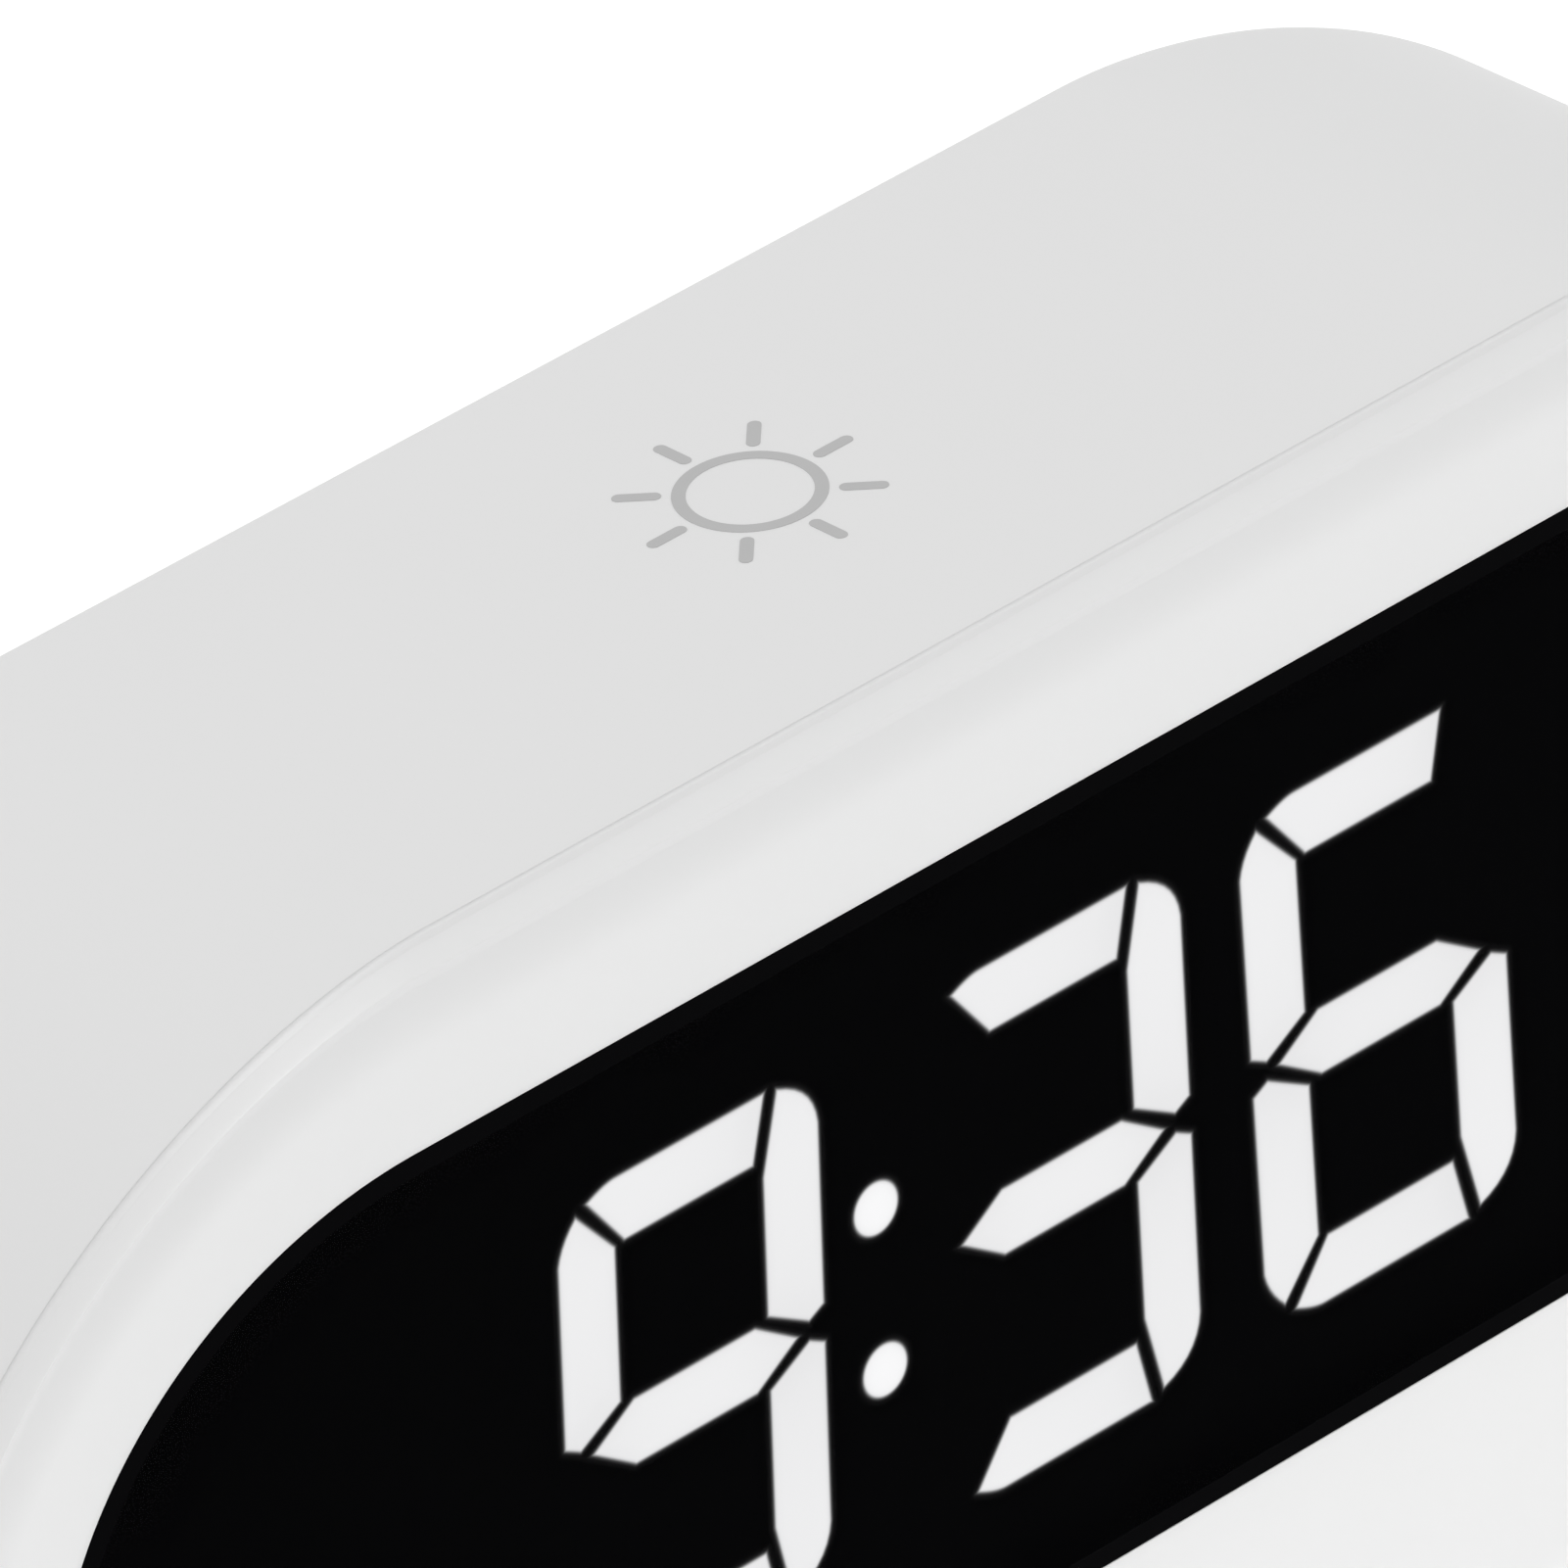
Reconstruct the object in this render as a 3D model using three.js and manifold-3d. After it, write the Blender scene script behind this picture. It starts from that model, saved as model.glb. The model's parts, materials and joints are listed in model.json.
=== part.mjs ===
// Bedside LED alarm clock: a deep white shell, a domed white bezel round a dark window, a 3 1/2 digit
// light-emitting display, four sprung keys and a bayonet battery door on the back.
// Millimetres. While it is built, x runs right, y runs back from the window's face and z runs up from
// the window's centre line; the exported group then stands on its feet, with the origin under its middle.
import * as THREE from "three";
import { mergeVertices } from "three/addons/utils/BufferGeometryUtils.js";
import Module from "manifold-3d";

const wasm = await Module();
wasm.setup();

// ---- Driving dimensions ----
const CORNER_STEPS = 10; // facets in each rounded corner of an outline
const BACK_EDGE_STEPS = 3; // facets across the rounded back edge
const CHIN = 12; // how much further the case reaches below the window's centre line than above it
const BODY = { width: 191.6, height: 80.2, cornerX: 48, cornerZ: 37.5, power: 1.8, chin: CHIN };
const FRONT_EDGE = { width: 188, height: 78, cornerX: 43.3, cornerZ: 34.7, power: 1.8, chin: CHIN };
const WINDOW = { width: 170, height: 56, cornerX: 32.1, cornerZ: 27.35, power: 2 };
const SLIT = 0.3; // gap between pieces that meet
const WALL = 2.2;

const BAND_BACK_Y = 2.85; // where the bevelled band reaches full size
const BEZEL_BACK_Y = 3.4; // where the bezel ends and the shell begins
const FRONT_EDGE_Y = 0.8;
const CROWN = [
  // share of the way from the front edge to the window, and how far back the face lies there
  { share: 0.08, y: 0.42 },
  { share: 0.2, y: 0.13 },
  { share: 0.38, y: 0 },
];
const LIP_BACK_Y = 0.9;
const REBATE = 3; // how far the window's flange reaches behind the lip
const REBATE_BACK_Y = 3.7;
const SPIGOT_BACK_Y = 8;
const SPIGOT_WALL = 1.6;

const BACK_Y = 48.7;
const INSIDE_BACK_Y = BACK_Y - WALL;
const BACK_EDGE_RADIUS = 2.4;
const THROUGH_BACK = [INSIDE_BACK_Y - 5, BACK_Y + 3]; // how deep a cutter for a hole in the back runs
const KEY_PROUD = 0.8; // stands proud of the back, and is the key's travel

const BOTTOM_Z = -BODY.height / 2 - CHIN;
const FOOT = { radius: 5, height: 1.5, proud: 1, x: 40, ys: [13, 37] };
const CASE_SCREW = { x: 76, z: 24.5, headY: 20, shankRadius: 1.45, headRadius: 2.8 };

// Display
const GLYPH = { halfWidth: 11, halfHeight: 18.75, stroke: 4.75, slant: Math.tan((2 * Math.PI) / 180) };
const DIGITS = { leading: -58.5, hours: -30.9, tens: 0.3, units: 27.9 };
const DIGIT_Z = -1.6;
const COLON = { x: -15.3, radius: 1.87, halfPitch: 5.8 };
const REFLECTOR = { left: -57, right: 46, halfHeight: 22, front: 2.3, back: 8.3 };
const MASK = { grow: 2, back: 2.9 }; // the reflector's thin flange, which blacks out the whole window
const DISPLAY_BOARD = { width: 114, height: 72, front: 9.7, back: 10.9 };
const DISPLAY_SCREW = { x: 53, z: 33 };

// Controls and power
const MAIN_BOARD = { width: 108, height: 56, front: INSIDE_BACK_Y - 10.8, back: INSIDE_BACK_Y - 9.2 };
const ON_MAIN_BOARD = MAIN_BOARD.front - SLIT; // where the parts on the board's front face end
const BEHIND_MAIN_BOARD = MAIN_BOARD.back + SLIT;
const BOARD_SCREW = { x: 49, z: 23 };
const KEYS = { mode: -24, down: -8, up: 8, alarm: 24 };
const KEY_Z = 16;
const DOOR = { x: 34, z: -8, radius: 12.7, wellRadius: 15.3 };
const LUG = { radius: 14.6, halfAngle: 18, openAngle: 45 };
const CELL = { radius: 10, front: INSIDE_BACK_Y - 5.4, back: INSIDE_BACK_Y - 2.2 };
const USB = { x: -32, z: -18, width: 9.4, height: 3.6 };
const BUZZER = { x: 2, z: -12, radius: 6, height: 6.5 };
const SOUND_HOLE = { count: 6, radius: 1, ringRadius: 4 };
const TOUCH_Y = 25.6; // how far back the middle of the touch key lies

// ---- Materials ----
function finish(color, roughness, metalness = 0) {
  return new THREE.MeshStandardMaterial({ color, roughness, metalness });
}
const whiteShell = finish(0xe6e6e6, 0.55);
const whiteBezel = finish(0xececec, 0.5);
const tintedPanel = finish(0x060607, 0.12);
const darkPlastic = finish(0x111113, 0.6);
const milkyResin = finish(0xf4f4ee, 0.4);
const boardGreen = finish(0x1e5b3a, 0.45);
const chipBlack = finish(0x1a1a1c, 0.5);
const steel = finish(0xb8bbbf, 0.3, 1);
const copper = finish(0xb87348, 0.35, 1);
const nylon = finish(0xe9e4d4, 0.5);
const rubber = finish(0x77797b, 0.85);
const tape = finish(0x222224, 0.9);
const cableGrey = finish(0x9a9c9e, 0.6);

// ---- Solids ----
function toSolid(geometry) {
  const bare = geometry.index ? geometry.toNonIndexed() : geometry.clone();
  bare.deleteAttribute("normal");
  bare.deleteAttribute("uv");
  const merged = mergeVertices(bare, 1e-4);
  const triVerts = new Uint32Array(merged.index.array);
  const vertProperties = merged.attributes.position.array;
  return new wasm.Manifold(new wasm.Mesh({ numProp: 3, vertProperties, triVerts }));
}

function toGeometry(solid) {
  const mesh = solid.getMesh();
  const geometry = new THREE.BufferGeometry();
  geometry.setAttribute("position", new THREE.BufferAttribute(mesh.vertProperties, 3));
  geometry.setIndex(new THREE.BufferAttribute(mesh.triVerts, 1));
  geometry.computeVertexNormals();
  return geometry;
}

// Adds every geometry of the first list together and takes every one of the second list away.
function shaped(added, removed = []) {
  let solid = toSolid(added[0]);
  for (const geometry of added.slice(1)) solid = solid.add(toSolid(geometry));
  for (const geometry of removed) solid = solid.subtract(toSolid(geometry));
  return toGeometry(solid);
}

function named(name, geometry, material) {
  const mesh = new THREE.Mesh(geometry, material);
  mesh.name = name;
  return mesh;
}

// A box given by its limits along x, y and z.
function block([x0, x1], [y0, y1], [z0, z1]) {
  return new THREE.BoxGeometry(x1 - x0, y1 - y0, z1 - z0).translate(
    (x0 + x1) / 2,
    (y0 + y1) / 2,
    (z0 + z1) / 2,
  );
}

// A box centred on x and z.
function slab(x, z, width, height, [front, back]) {
  return block([x - width / 2, x + width / 2], [front, back], [z - height / 2, z + height / 2]);
}

// A round bar that runs front to back.
function bar(x, z, radius, [front, back], sides = 20) {
  return new THREE.CylinderGeometry(radius, radius, back - front, sides).translate(
    x,
    (front + back) / 2,
    z,
  );
}

// A flat outline in x and z, made thick from front to back.
function plate(points, [front, back]) {
  return new THREE.ExtrudeGeometry(new THREE.Shape(points), {
    depth: back - front,
    bevelEnabled: false,
    steps: 1,
  })
    .rotateX(Math.PI / 2)
    .translate(0, back, 0);
}

// ---- Outlines ----
// A rounded rectangle whose corners are quarter ellipses, or quarter superellipses where power isn't 2.
// Its height is twice its reach above the centre line, and its chin is added below.
function outline({ width, height, cornerX, cornerZ, power, chin = 0 }, grow = 0) {
  const points = [];
  const corners = [
    [1, 1],
    [-1, 1],
    [-1, -1],
    [1, -1],
  ];
  corners.forEach(([signX, signZ], quarter) => {
    const lower = signZ < 0 ? chin : 0;
    const side = new THREE.Vector2(width / 2 + grow, height / 2 + lower + grow);
    const corner = new THREE.Vector2(cornerX + grow, cornerZ + lower + grow);
    for (let step = 0; step <= CORNER_STEPS; step += 1) {
      const share = step / CORNER_STEPS;
      const angle = ((quarter % 2 ? 1 - share : share) * Math.PI) / 2;
      const x = side.x - corner.x + corner.x * Math.cos(angle) ** (2 / power);
      const z = side.y - corner.y + corner.y * Math.abs(Math.sin(angle)) ** (2 / power);
      points.push(new THREE.Vector2(signX * x, signZ * z));
    }
  });
  return points;
}

function loopAt(points, y) {
  return points.map((point) => new THREE.Vector3(point.x, y, point.y));
}

function between(from, to, share) {
  return from.map((point, index) => point.clone().lerp(to[index], share));
}

// A skin over loops of equal count, listed front to back along the outside. Closed joins the last loop
// to the first, which makes a ring; otherwise both ends are capped.
function loft(loops, closed) {
  const count = loops[0].length;
  const positions = loops.flat().flatMap((point) => point.toArray());
  const index = [];
  const spans = closed ? loops.length : loops.length - 1;
  for (let row = 0; row < spans; row += 1) {
    const here = row * count;
    const next = ((row + 1) % loops.length) * count;
    for (let i = 0; i < count; i += 1) {
      const j = (i + 1) % count;
      index.push(here + i, next + i, here + j);
      index.push(here + j, next + i, next + j);
    }
  }
  if (!closed) {
    const last = (loops.length - 1) * count;
    for (let i = 1; i < count - 1; i += 1) {
      index.push(0, i, i + 1);
      index.push(last, last + i + 1, last + i);
    }
  }
  const geometry = new THREE.BufferGeometry();
  geometry.setAttribute("position", new THREE.Float32BufferAttribute(positions, 3));
  geometry.setIndex(index);
  return geometry;
}

// ---- Casing ----
const casing = new THREE.Group();

const caseScrewPlaces = [
  ["upper_left", -CASE_SCREW.x, CASE_SCREW.z],
  ["upper_right", CASE_SCREW.x, CASE_SCREW.z],
  ["lower_left", -CASE_SCREW.x, -CASE_SCREW.z],
  ["lower_right", CASE_SCREW.x, -CASE_SCREW.z],
];
const displayScrewPlaces = [
  ["left", -DISPLAY_SCREW.x, DISPLAY_SCREW.z],
  ["right", DISPLAY_SCREW.x, DISPLAY_SCREW.z],
];
const boardScrewPlaces = [
  ["left", -BOARD_SCREW.x, BOARD_SCREW.z],
  ["right", BOARD_SCREW.x, -BOARD_SCREW.z],
];
const footPlaces = FOOT.ys.flatMap((y, row) =>
  [-FOOT.x, FOOT.x].map((x, side) => [`${["front", "back"][row]}_${["left", "right"][side]}`, x, y]),
);

function frontBezel() {
  const body = outline(BODY);
  const windowEdge = outline(WINDOW);
  const rebate = outline(WINDOW, REBATE);
  const spigotOut = outline(BODY, -WALL - SLIT);
  const spigotIn = outline(BODY, -WALL - SLIT - SPIGOT_WALL);
  const edge = outline(FRONT_EDGE);
  const crown = CROWN.map(({ share, y }) => loopAt(between(edge, windowEdge, share), y)).reverse();
  const ring = loft(
    [
      loopAt(edge, FRONT_EDGE_Y),
      loopAt(body, BAND_BACK_Y),
      loopAt(body, BEZEL_BACK_Y),
      loopAt(spigotOut, BEZEL_BACK_Y),
      loopAt(spigotOut, SPIGOT_BACK_Y),
      loopAt(spigotIn, SPIGOT_BACK_Y),
      loopAt(spigotIn, REBATE_BACK_Y),
      loopAt(rebate, REBATE_BACK_Y),
      loopAt(rebate, LIP_BACK_Y),
      loopAt(windowEdge, LIP_BACK_Y),
      loopAt(windowEdge, 0),
      ...crown,
    ],
    true,
  );
  const bosses = caseScrewPlaces.map(([, x, z]) => bar(x, z, 3.2, [REBATE_BACK_Y - 0.2, 16]));
  const posts = displayScrewPlaces.map(([, x, z]) =>
    bar(x, z, 2.6, [REBATE_BACK_Y - 0.2, DISPLAY_BOARD.front - SLIT]),
  );
  const pilots = [
    ...caseScrewPlaces.map(([, x, z]) => bar(x, z, 1.7, [6, 20])),
    ...displayScrewPlaces.map(([, x, z]) => bar(x, z, 1.2, [4, 12], 12)),
  ];
  return shaped([ring, ...bosses, ...posts], pilots);
}

// One hole in the middle and a ring of them round it.
function soundHoles() {
  const { count, radius, ringRadius } = SOUND_HOLE;
  const cutters = [bar(BUZZER.x, BUZZER.z, radius, THROUGH_BACK, 10)];
  for (let i = 0; i < count; i += 1) {
    const angle = (i * 2 * Math.PI) / count;
    const x = BUZZER.x + ringRadius * Math.cos(angle);
    const z = BUZZER.z + ringRadius * Math.sin(angle);
    cutters.push(bar(x, z, radius, THROUGH_BACK, 10));
  }
  return cutters;
}

// The door's round hole with the two notches that let its lugs through once it is turned.
function doorHole() {
  const cutters = [bar(DOOR.x, DOOR.z, DOOR.radius + SLIT, THROUGH_BACK, 40)];
  for (const side of [0, 180]) {
    const middle = side - LUG.openAngle;
    cutters.push(lug(LUG.radius + SLIT, LUG.halfAngle + 3, middle, THROUGH_BACK));
  }
  return cutters;
}

// A wedge from inside the door's rim out to a radius, centred on an angle in degrees.
function lug(radius, halfAngle, angle, depth) {
  const points = [new THREE.Vector2(DOOR.x, DOOR.z)];
  const steps = 5;
  for (let i = 0; i <= steps; i += 1) {
    const turn = THREE.MathUtils.degToRad(angle - halfAngle + (2 * halfAngle * i) / steps);
    points.push(
      new THREE.Vector2(DOOR.x + radius * Math.cos(turn), DOOR.z + radius * Math.sin(turn)),
    );
  }
  return plate(points, depth);
}

function oblong(x, z, width, height, depth) {
  const shape = new THREE.Shape();
  const reach = (width - height) / 2;
  shape.absarc(x + reach, z, height / 2, -Math.PI / 2, Math.PI / 2, false);
  shape.absarc(x - reach, z, height / 2, Math.PI / 2, (3 * Math.PI) / 2, false);
  return plate(shape.getPoints(6), depth);
}

function rearShell() {
  const front = BEZEL_BACK_Y + SLIT;
  const inside = INSIDE_BACK_Y;
  const outer = outline(BODY);
  const loops = [loopAt(outer, front)];
  for (let step = 0; step <= BACK_EDGE_STEPS; step += 1) {
    const angle = ((step / BACK_EDGE_STEPS) * Math.PI) / 2;
    const grow = -BACK_EDGE_RADIUS * (1 - Math.cos(angle));
    loops.push(loopAt(outline(BODY, grow), BACK_Y - BACK_EDGE_RADIUS * (1 - Math.sin(angle))));
  }
  const outside = loft(loops, false);
  const cavity = outline(BODY, -WALL);
  const hollow = loft([loopAt(cavity, front - 5), loopAt(cavity, inside)], false);
  const tubes = caseScrewPlaces.map(([, x, z]) => bar(x, z, 4.3, [16.4, BACK_Y - 1]));
  const posts = boardScrewPlaces.map(([, x, z]) => bar(x, z, 3, [BEHIND_MAIN_BOARD, inside + 1]));
  const wellDepth = [inside - 7.8, inside + 1];
  const well = bar(DOOR.x, DOOR.z, DOOR.wellRadius + 1.5, wellDepth, 32);
  const wellMouth = bar(DOOR.x, DOOR.z, DOOR.wellRadius, [wellDepth[0] - 1, inside], 32);
  const walls = toSolid(outside).subtract(toSolid(hollow));
  return shaped(
    [toGeometry(walls), ...tubes, ...posts, well],
    [
      wellMouth,
      ...caseScrewPlaces.map(([, x, z]) => bar(x, z, 1.8, [10, THROUGH_BACK[1]])),
      ...caseScrewPlaces.map(([, x, z]) => bar(x, z, 3.3, [CASE_SCREW.headY - 0.4, THROUGH_BACK[1]])),
      ...boardScrewPlaces.map(([, x, z]) => bar(x, z, 1.3, [30, BACK_Y - 3.5], 12)),
      ...Object.values(KEYS).map((x) => bar(x, KEY_Z, 3.8, THROUGH_BACK, 24)),
      ...footPlaces.map(([, x, y]) => footPocket(x, y)),
      ...soundHoles(),
      ...doorHole(),
      oblong(USB.x, USB.z, USB.width + 2 * SLIT, USB.height + 2 * SLIT, THROUGH_BACK),
    ],
  );
}

function footPocket(x, y) {
  const depth = FOOT.height - FOOT.proud + SLIT;
  return new THREE.CylinderGeometry(FOOT.radius + SLIT, FOOT.radius + SLIT, 2 * depth, 24)
    .rotateX(Math.PI / 2)
    .translate(x, y, BOTTOM_Z);
}

function foot(x, y) {
  const profile = [
    new THREE.Vector2(0, 0),
    new THREE.Vector2(FOOT.radius - 0.5, 0),
    new THREE.Vector2(FOOT.radius, 0.5),
    new THREE.Vector2(FOOT.radius, FOOT.height),
    new THREE.Vector2(0, FOOT.height),
  ];
  return new THREE.LatheGeometry(profile, 24)
    .rotateX(Math.PI / 2)
    .translate(x, y, BOTTOM_Z - FOOT.proud);
}

// A pan-head screw whose head faces back, with a cross recess.
function screw(x, z, headY, shankRadius, headRadius, length, facing) {
  const headHeight = headRadius * 0.6;
  const reach = Math.sign(facing);
  const head = [headY, headY + reach * headHeight].sort((a, b) => a - b);
  const shank = [headY, headY - reach * length].sort((a, b) => a - b);
  shank[reach > 0 ? 1 : 0] += reach * 0.2;
  const recessEnd = headY + reach * (headHeight + 1);
  const recess = [headY + reach * headHeight * 0.4, recessEnd].sort((a, b) => a - b);
  const slot = headRadius * 1.1;
  return shaped(
    [bar(x, z, headRadius, head, 16), bar(x, z, shankRadius, shank, 12)],
    [slab(x, z, slot, slot * 0.25, recess), slab(x, z, slot * 0.25, slot, recess)],
  );
}

casing.add(named("rear_shell", rearShell(), whiteShell));
casing.add(named("front_bezel", frontBezel(), whiteBezel));
footPlaces.forEach(([place, x, y]) => casing.add(named(`foot_${place}`, foot(x, y), rubber)));
caseScrewPlaces.forEach(([place, x, z]) => {
  const { headY, shankRadius, headRadius } = CASE_SCREW;
  casing.add(named(`case_screw_${place}`, screw(x, z, headY, shankRadius, headRadius, 13, 1), steel));
});

// ---- Display ----
const display = new THREE.Group();

function point(x, z) {
  return new THREE.Vector2(x, z);
}

// The rounded stretch from one point to another round a corner, as a quadratic curve.
function bend(from, corner, to, steps = 3) {
  return new THREE.QuadraticBezierCurve(from, corner, to).getPoints(steps);
}

// The seven bars of a figure, anticlockwise, about the figure's centre and before it is slanted. The
// upper half is drawn and the lower half mirrors it.
function glyphBars() {
  const { halfWidth: w, halfHeight: h, stroke: s } = GLYPH;
  const inner = w - s;
  const top = [
    point(-inner + 0.8, h - s),
    point(inner - 0.8, h - s),
    point(inner + 0.3, h),
    ...bend(point(-inner + 0.2, h), point(-w + 4, h), point(-w + 2.5, h - 0.75)),
  ];
  const right = [
    point(inner, h - 6),
    point(inner, 3.4),
    point(w - 1.3, 1.4),
    point(w, 2.1),
    ...bend(point(w, h - 4.2), point(w - 0.3, h - 1.3), point(inner + 1.35, h - 0.25)),
  ];
  const left = [
    point(-inner, h - 4.9),
    ...bend(point(-w + 1.6, h - 1.3), point(-w + 0.3, h - 2.6), point(-w, h - 4.2), 2),
    point(-w, 2.1),
    point(-w + 1.3, 1.4),
    point(-inner, 3.4),
  ];
  const middle = [
    point(-w + 2.3, 0),
    point(-inner + 1.1, -s / 2),
    point(inner - 1.1, -s / 2),
    point(w - 2.3, 0),
    point(inner - 1.1, s / 2),
    point(-inner + 1.1, s / 2),
  ];
  const mirrored = (points) => points.map((p) => point(p.x, -p.y)).reverse();
  return {
    a: top,
    b: right,
    c: mirrored(right),
    d: mirrored(top),
    e: mirrored(left),
    f: left,
    g: middle,
  };
}

function slanted(points, x) {
  return points.map((p) => point(x + p.x + p.y * GLYPH.slant, DIGIT_Z + p.y));
}

// A convex outline drawn in by a distance all round.
function inset(points, distance) {
  return points.map((here, i) => {
    const before = points[(i + points.length - 1) % points.length];
    const after = points[(i + 1) % points.length];
    const into = here.clone().sub(before).normalize();
    const out = after.clone().sub(here).normalize();
    const bisector = point(-into.y - out.y, into.x + out.x).normalize();
    const reach = distance / Math.max(0.3, bisector.dot(point(-out.y, out.x)));
    return here.clone().addScaledVector(bisector, reach);
  });
}

const bars = glyphBars();
const figureBars = {
  leading: ["b", "c"],
  hours: Object.keys(bars),
  tens: Object.keys(bars),
  units: Object.keys(bars),
};
const colonDots = [-1, 1].map((side) =>
  point(COLON.x + side * COLON.halfPitch * GLYPH.slant, DIGIT_Z + 0.4 + side * COLON.halfPitch),
);

function displayWindow() {
  const plug = outline(WINDOW, -SLIT / 2);
  const flange = outline(WINDOW, REBATE - SLIT);
  return shaped([plate(plug, [0.1, 1.6]), plate(flange, [1.4, 2])]);
}

function windowTape() {
  const front = LIP_BACK_Y + 0.15;
  const back = 1.25;
  return shaped(
    [plate(outline(WINDOW, REBATE - 0.5), [front, back])],
    [plate(outline(WINDOW, SLIT), [front - 1, back + 1])],
  );
}

function reflector() {
  const { left, right, halfHeight, front, back } = REFLECTOR;
  const cavities = [];
  for (const [figure, names] of Object.entries(figureBars)) {
    for (const name of names) {
      cavities.push(plate(slanted(bars[name], DIGITS[figure]), [front - 1, back + 1]));
    }
  }
  colonDots.forEach((dot) => cavities.push(bar(dot.x, dot.y, COLON.radius, [front - 1, back + 1], 16)));
  return shaped(
    [
      block([left, right], [front, back], [DIGIT_Z - halfHeight, DIGIT_Z + halfHeight]),
      plate(outline(WINDOW, MASK.grow), [front, MASK.back]),
    ],
    cavities,
  );
}

const INSERT_PLATE = [REFLECTOR.back + SLIT, REFLECTOR.back + SLIT + 0.8];

function figureInsert(figure) {
  const x = DIGITS[figure];
  const names = figureBars[figure];
  const guides = names.map((name) =>
    plate(inset(slanted(bars[name], x), 0.2), [REFLECTOR.front, INSERT_PLATE[1]]),
  );
  const narrow = names.length < Object.keys(bars).length;
  const carrier = narrow
    ? slab(x + GLYPH.halfWidth - GLYPH.stroke / 2, DIGIT_Z, 7, 38, INSERT_PLATE)
    : slab(x, DIGIT_Z, 24, 38, INSERT_PLATE);
  return shaped([carrier, ...guides]);
}

function colonInsert() {
  const guides = colonDots.map((dot) =>
    bar(dot.x, dot.y, COLON.radius - 0.2, [REFLECTOR.front, INSERT_PLATE[1]], 16),
  );
  return shaped([slab(COLON.x, DIGIT_Z + 0.4, 4.4, 18, INSERT_PLATE), ...guides]);
}

function displayBoard() {
  const { width, height, front, back } = DISPLAY_BOARD;
  return shaped(
    [slab(0, 0, width, height, [front, back])],
    displayScrewPlaces.map(([, x, z]) => bar(x, z, 1.4, [front - 1, back + 1], 12)),
  );
}

display.add(named("display_window", displayWindow(), tintedPanel));
display.add(named("window_tape", windowTape(), tape));
display.add(named("segment_reflector", reflector(), darkPlastic));
Object.keys(DIGITS).forEach((figure) =>
  display.add(named(`light_insert_${figure}`, figureInsert(figure), milkyResin)),
);
display.add(named("light_insert_colon", colonInsert(), milkyResin));
display.add(named("display_board", displayBoard(), boardGreen));
const behindDisplay = DISPLAY_BOARD.back + SLIT;
display.add(
  named("display_driver", slab(26, 6, 18, 7.5, [behindDisplay, behindDisplay + 2.4]), chipBlack),
);
display.add(named("display_socket", slab(-6, 20, 13, 5, [behindDisplay, 15.2]), nylon));
displayScrewPlaces.forEach(([place, x, z]) =>
  display.add(named(`display_screw_${place}`, screw(x, z, 11.2, 1, 2.2, 6.4, 1), steel)),
);

// ---- Main board, power and sounder ----
const electronics = new THREE.Group();
const BOARD_SOCKET_Y = ON_MAIN_BOARD - 4;

function mainBoard() {
  const { width, height, front, back } = MAIN_BOARD;
  return shaped(
    [slab(0, 0, width, height, [front, back])],
    boardScrewPlaces.map(([, x, z]) => bar(x, z, 1.4, [front - 1, back + 1], 12)),
  );
}

function usbSocket() {
  const { x, z, width, height } = USB;
  return shaped(
    [oblong(x, z, width, height, [BEHIND_MAIN_BOARD, BACK_Y - 0.2])],
    [oblong(x, z, width - 0.8, height - 0.8, [BEHIND_MAIN_BOARD + 1.6, BACK_Y + 1])],
  );
}

// The flat cable between the boards, as a strip bent in the side view and extruded across its width.
function ribbonCable() {
  const run = new THREE.CubicBezierCurve(
    point(15.5, 20),
    point(26, 20),
    point(19, 10),
    point(BOARD_SOCKET_Y - SLIT, 10),
  );
  const steps = 10;
  const half = 0.25;
  const upper = [];
  const lower = [];
  for (let i = 0; i <= steps; i += 1) {
    const at = run.getPoint(i / steps);
    const along = run.getTangent(i / steps);
    upper.push(point(at.x - along.y * half, at.y + along.x * half));
    lower.push(point(at.x + along.y * half, at.y - along.x * half));
  }
  const width = 10;
  return new THREE.ExtrudeGeometry(new THREE.Shape([...lower, ...upper.reverse()]), {
    depth: width,
    bevelEnabled: false,
  })
    .applyMatrix4(new THREE.Matrix4().set(0, 0, 1, 0, 1, 0, 0, 0, 0, 1, 0, 0, 0, 0, 0, 1))
    .translate(-6 - width / 2, 0, 0);
}

function cellCradle() {
  const { x, z } = DOOR;
  return shaped(
    [bar(x, z, 13.2, [BEHIND_MAIN_BOARD, CELL.back - 0.2], 32)],
    [
      bar(x, z, CELL.radius + 0.4, [BEHIND_MAIN_BOARD + 0.8, BACK_Y], 32),
      slab(x, z, 8, 8, [BEHIND_MAIN_BOARD - 1, BACK_Y]),
      slab(x, z + 11.5, 6, 6, [BEHIND_MAIN_BOARD + 0.8, BACK_Y]),
    ],
  );
}

// A sprung leaf that presses on the middle of the cell.
function innerContact() {
  const { x, z } = DOOR;
  return shaped([
    slab(x, z, 7, 7, [BEHIND_MAIN_BOARD + 0.1, BEHIND_MAIN_BOARD + 0.5]),
    slab(x, z, 2.4, 6, [BEHIND_MAIN_BOARD + 0.4, BEHIND_MAIN_BOARD + 1.6]),
    bar(x, z, 1.2, [BEHIND_MAIN_BOARD + 1.4, CELL.front - 0.2], 12),
  ]);
}

// A clip that reaches over the cell's edge.
function outerContact() {
  const { x, z } = DOOR;
  const edge = z + CELL.radius + 0.5;
  return shaped([
    block([x - 2, x + 2], [BEHIND_MAIN_BOARD + 1.1, CELL.back], [edge, edge + 0.4]),
    block([x - 2, x + 2], [BEHIND_MAIN_BOARD + 1.1, BEHIND_MAIN_BOARD + 1.5], [edge, edge + 2]),
  ]);
}

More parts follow.
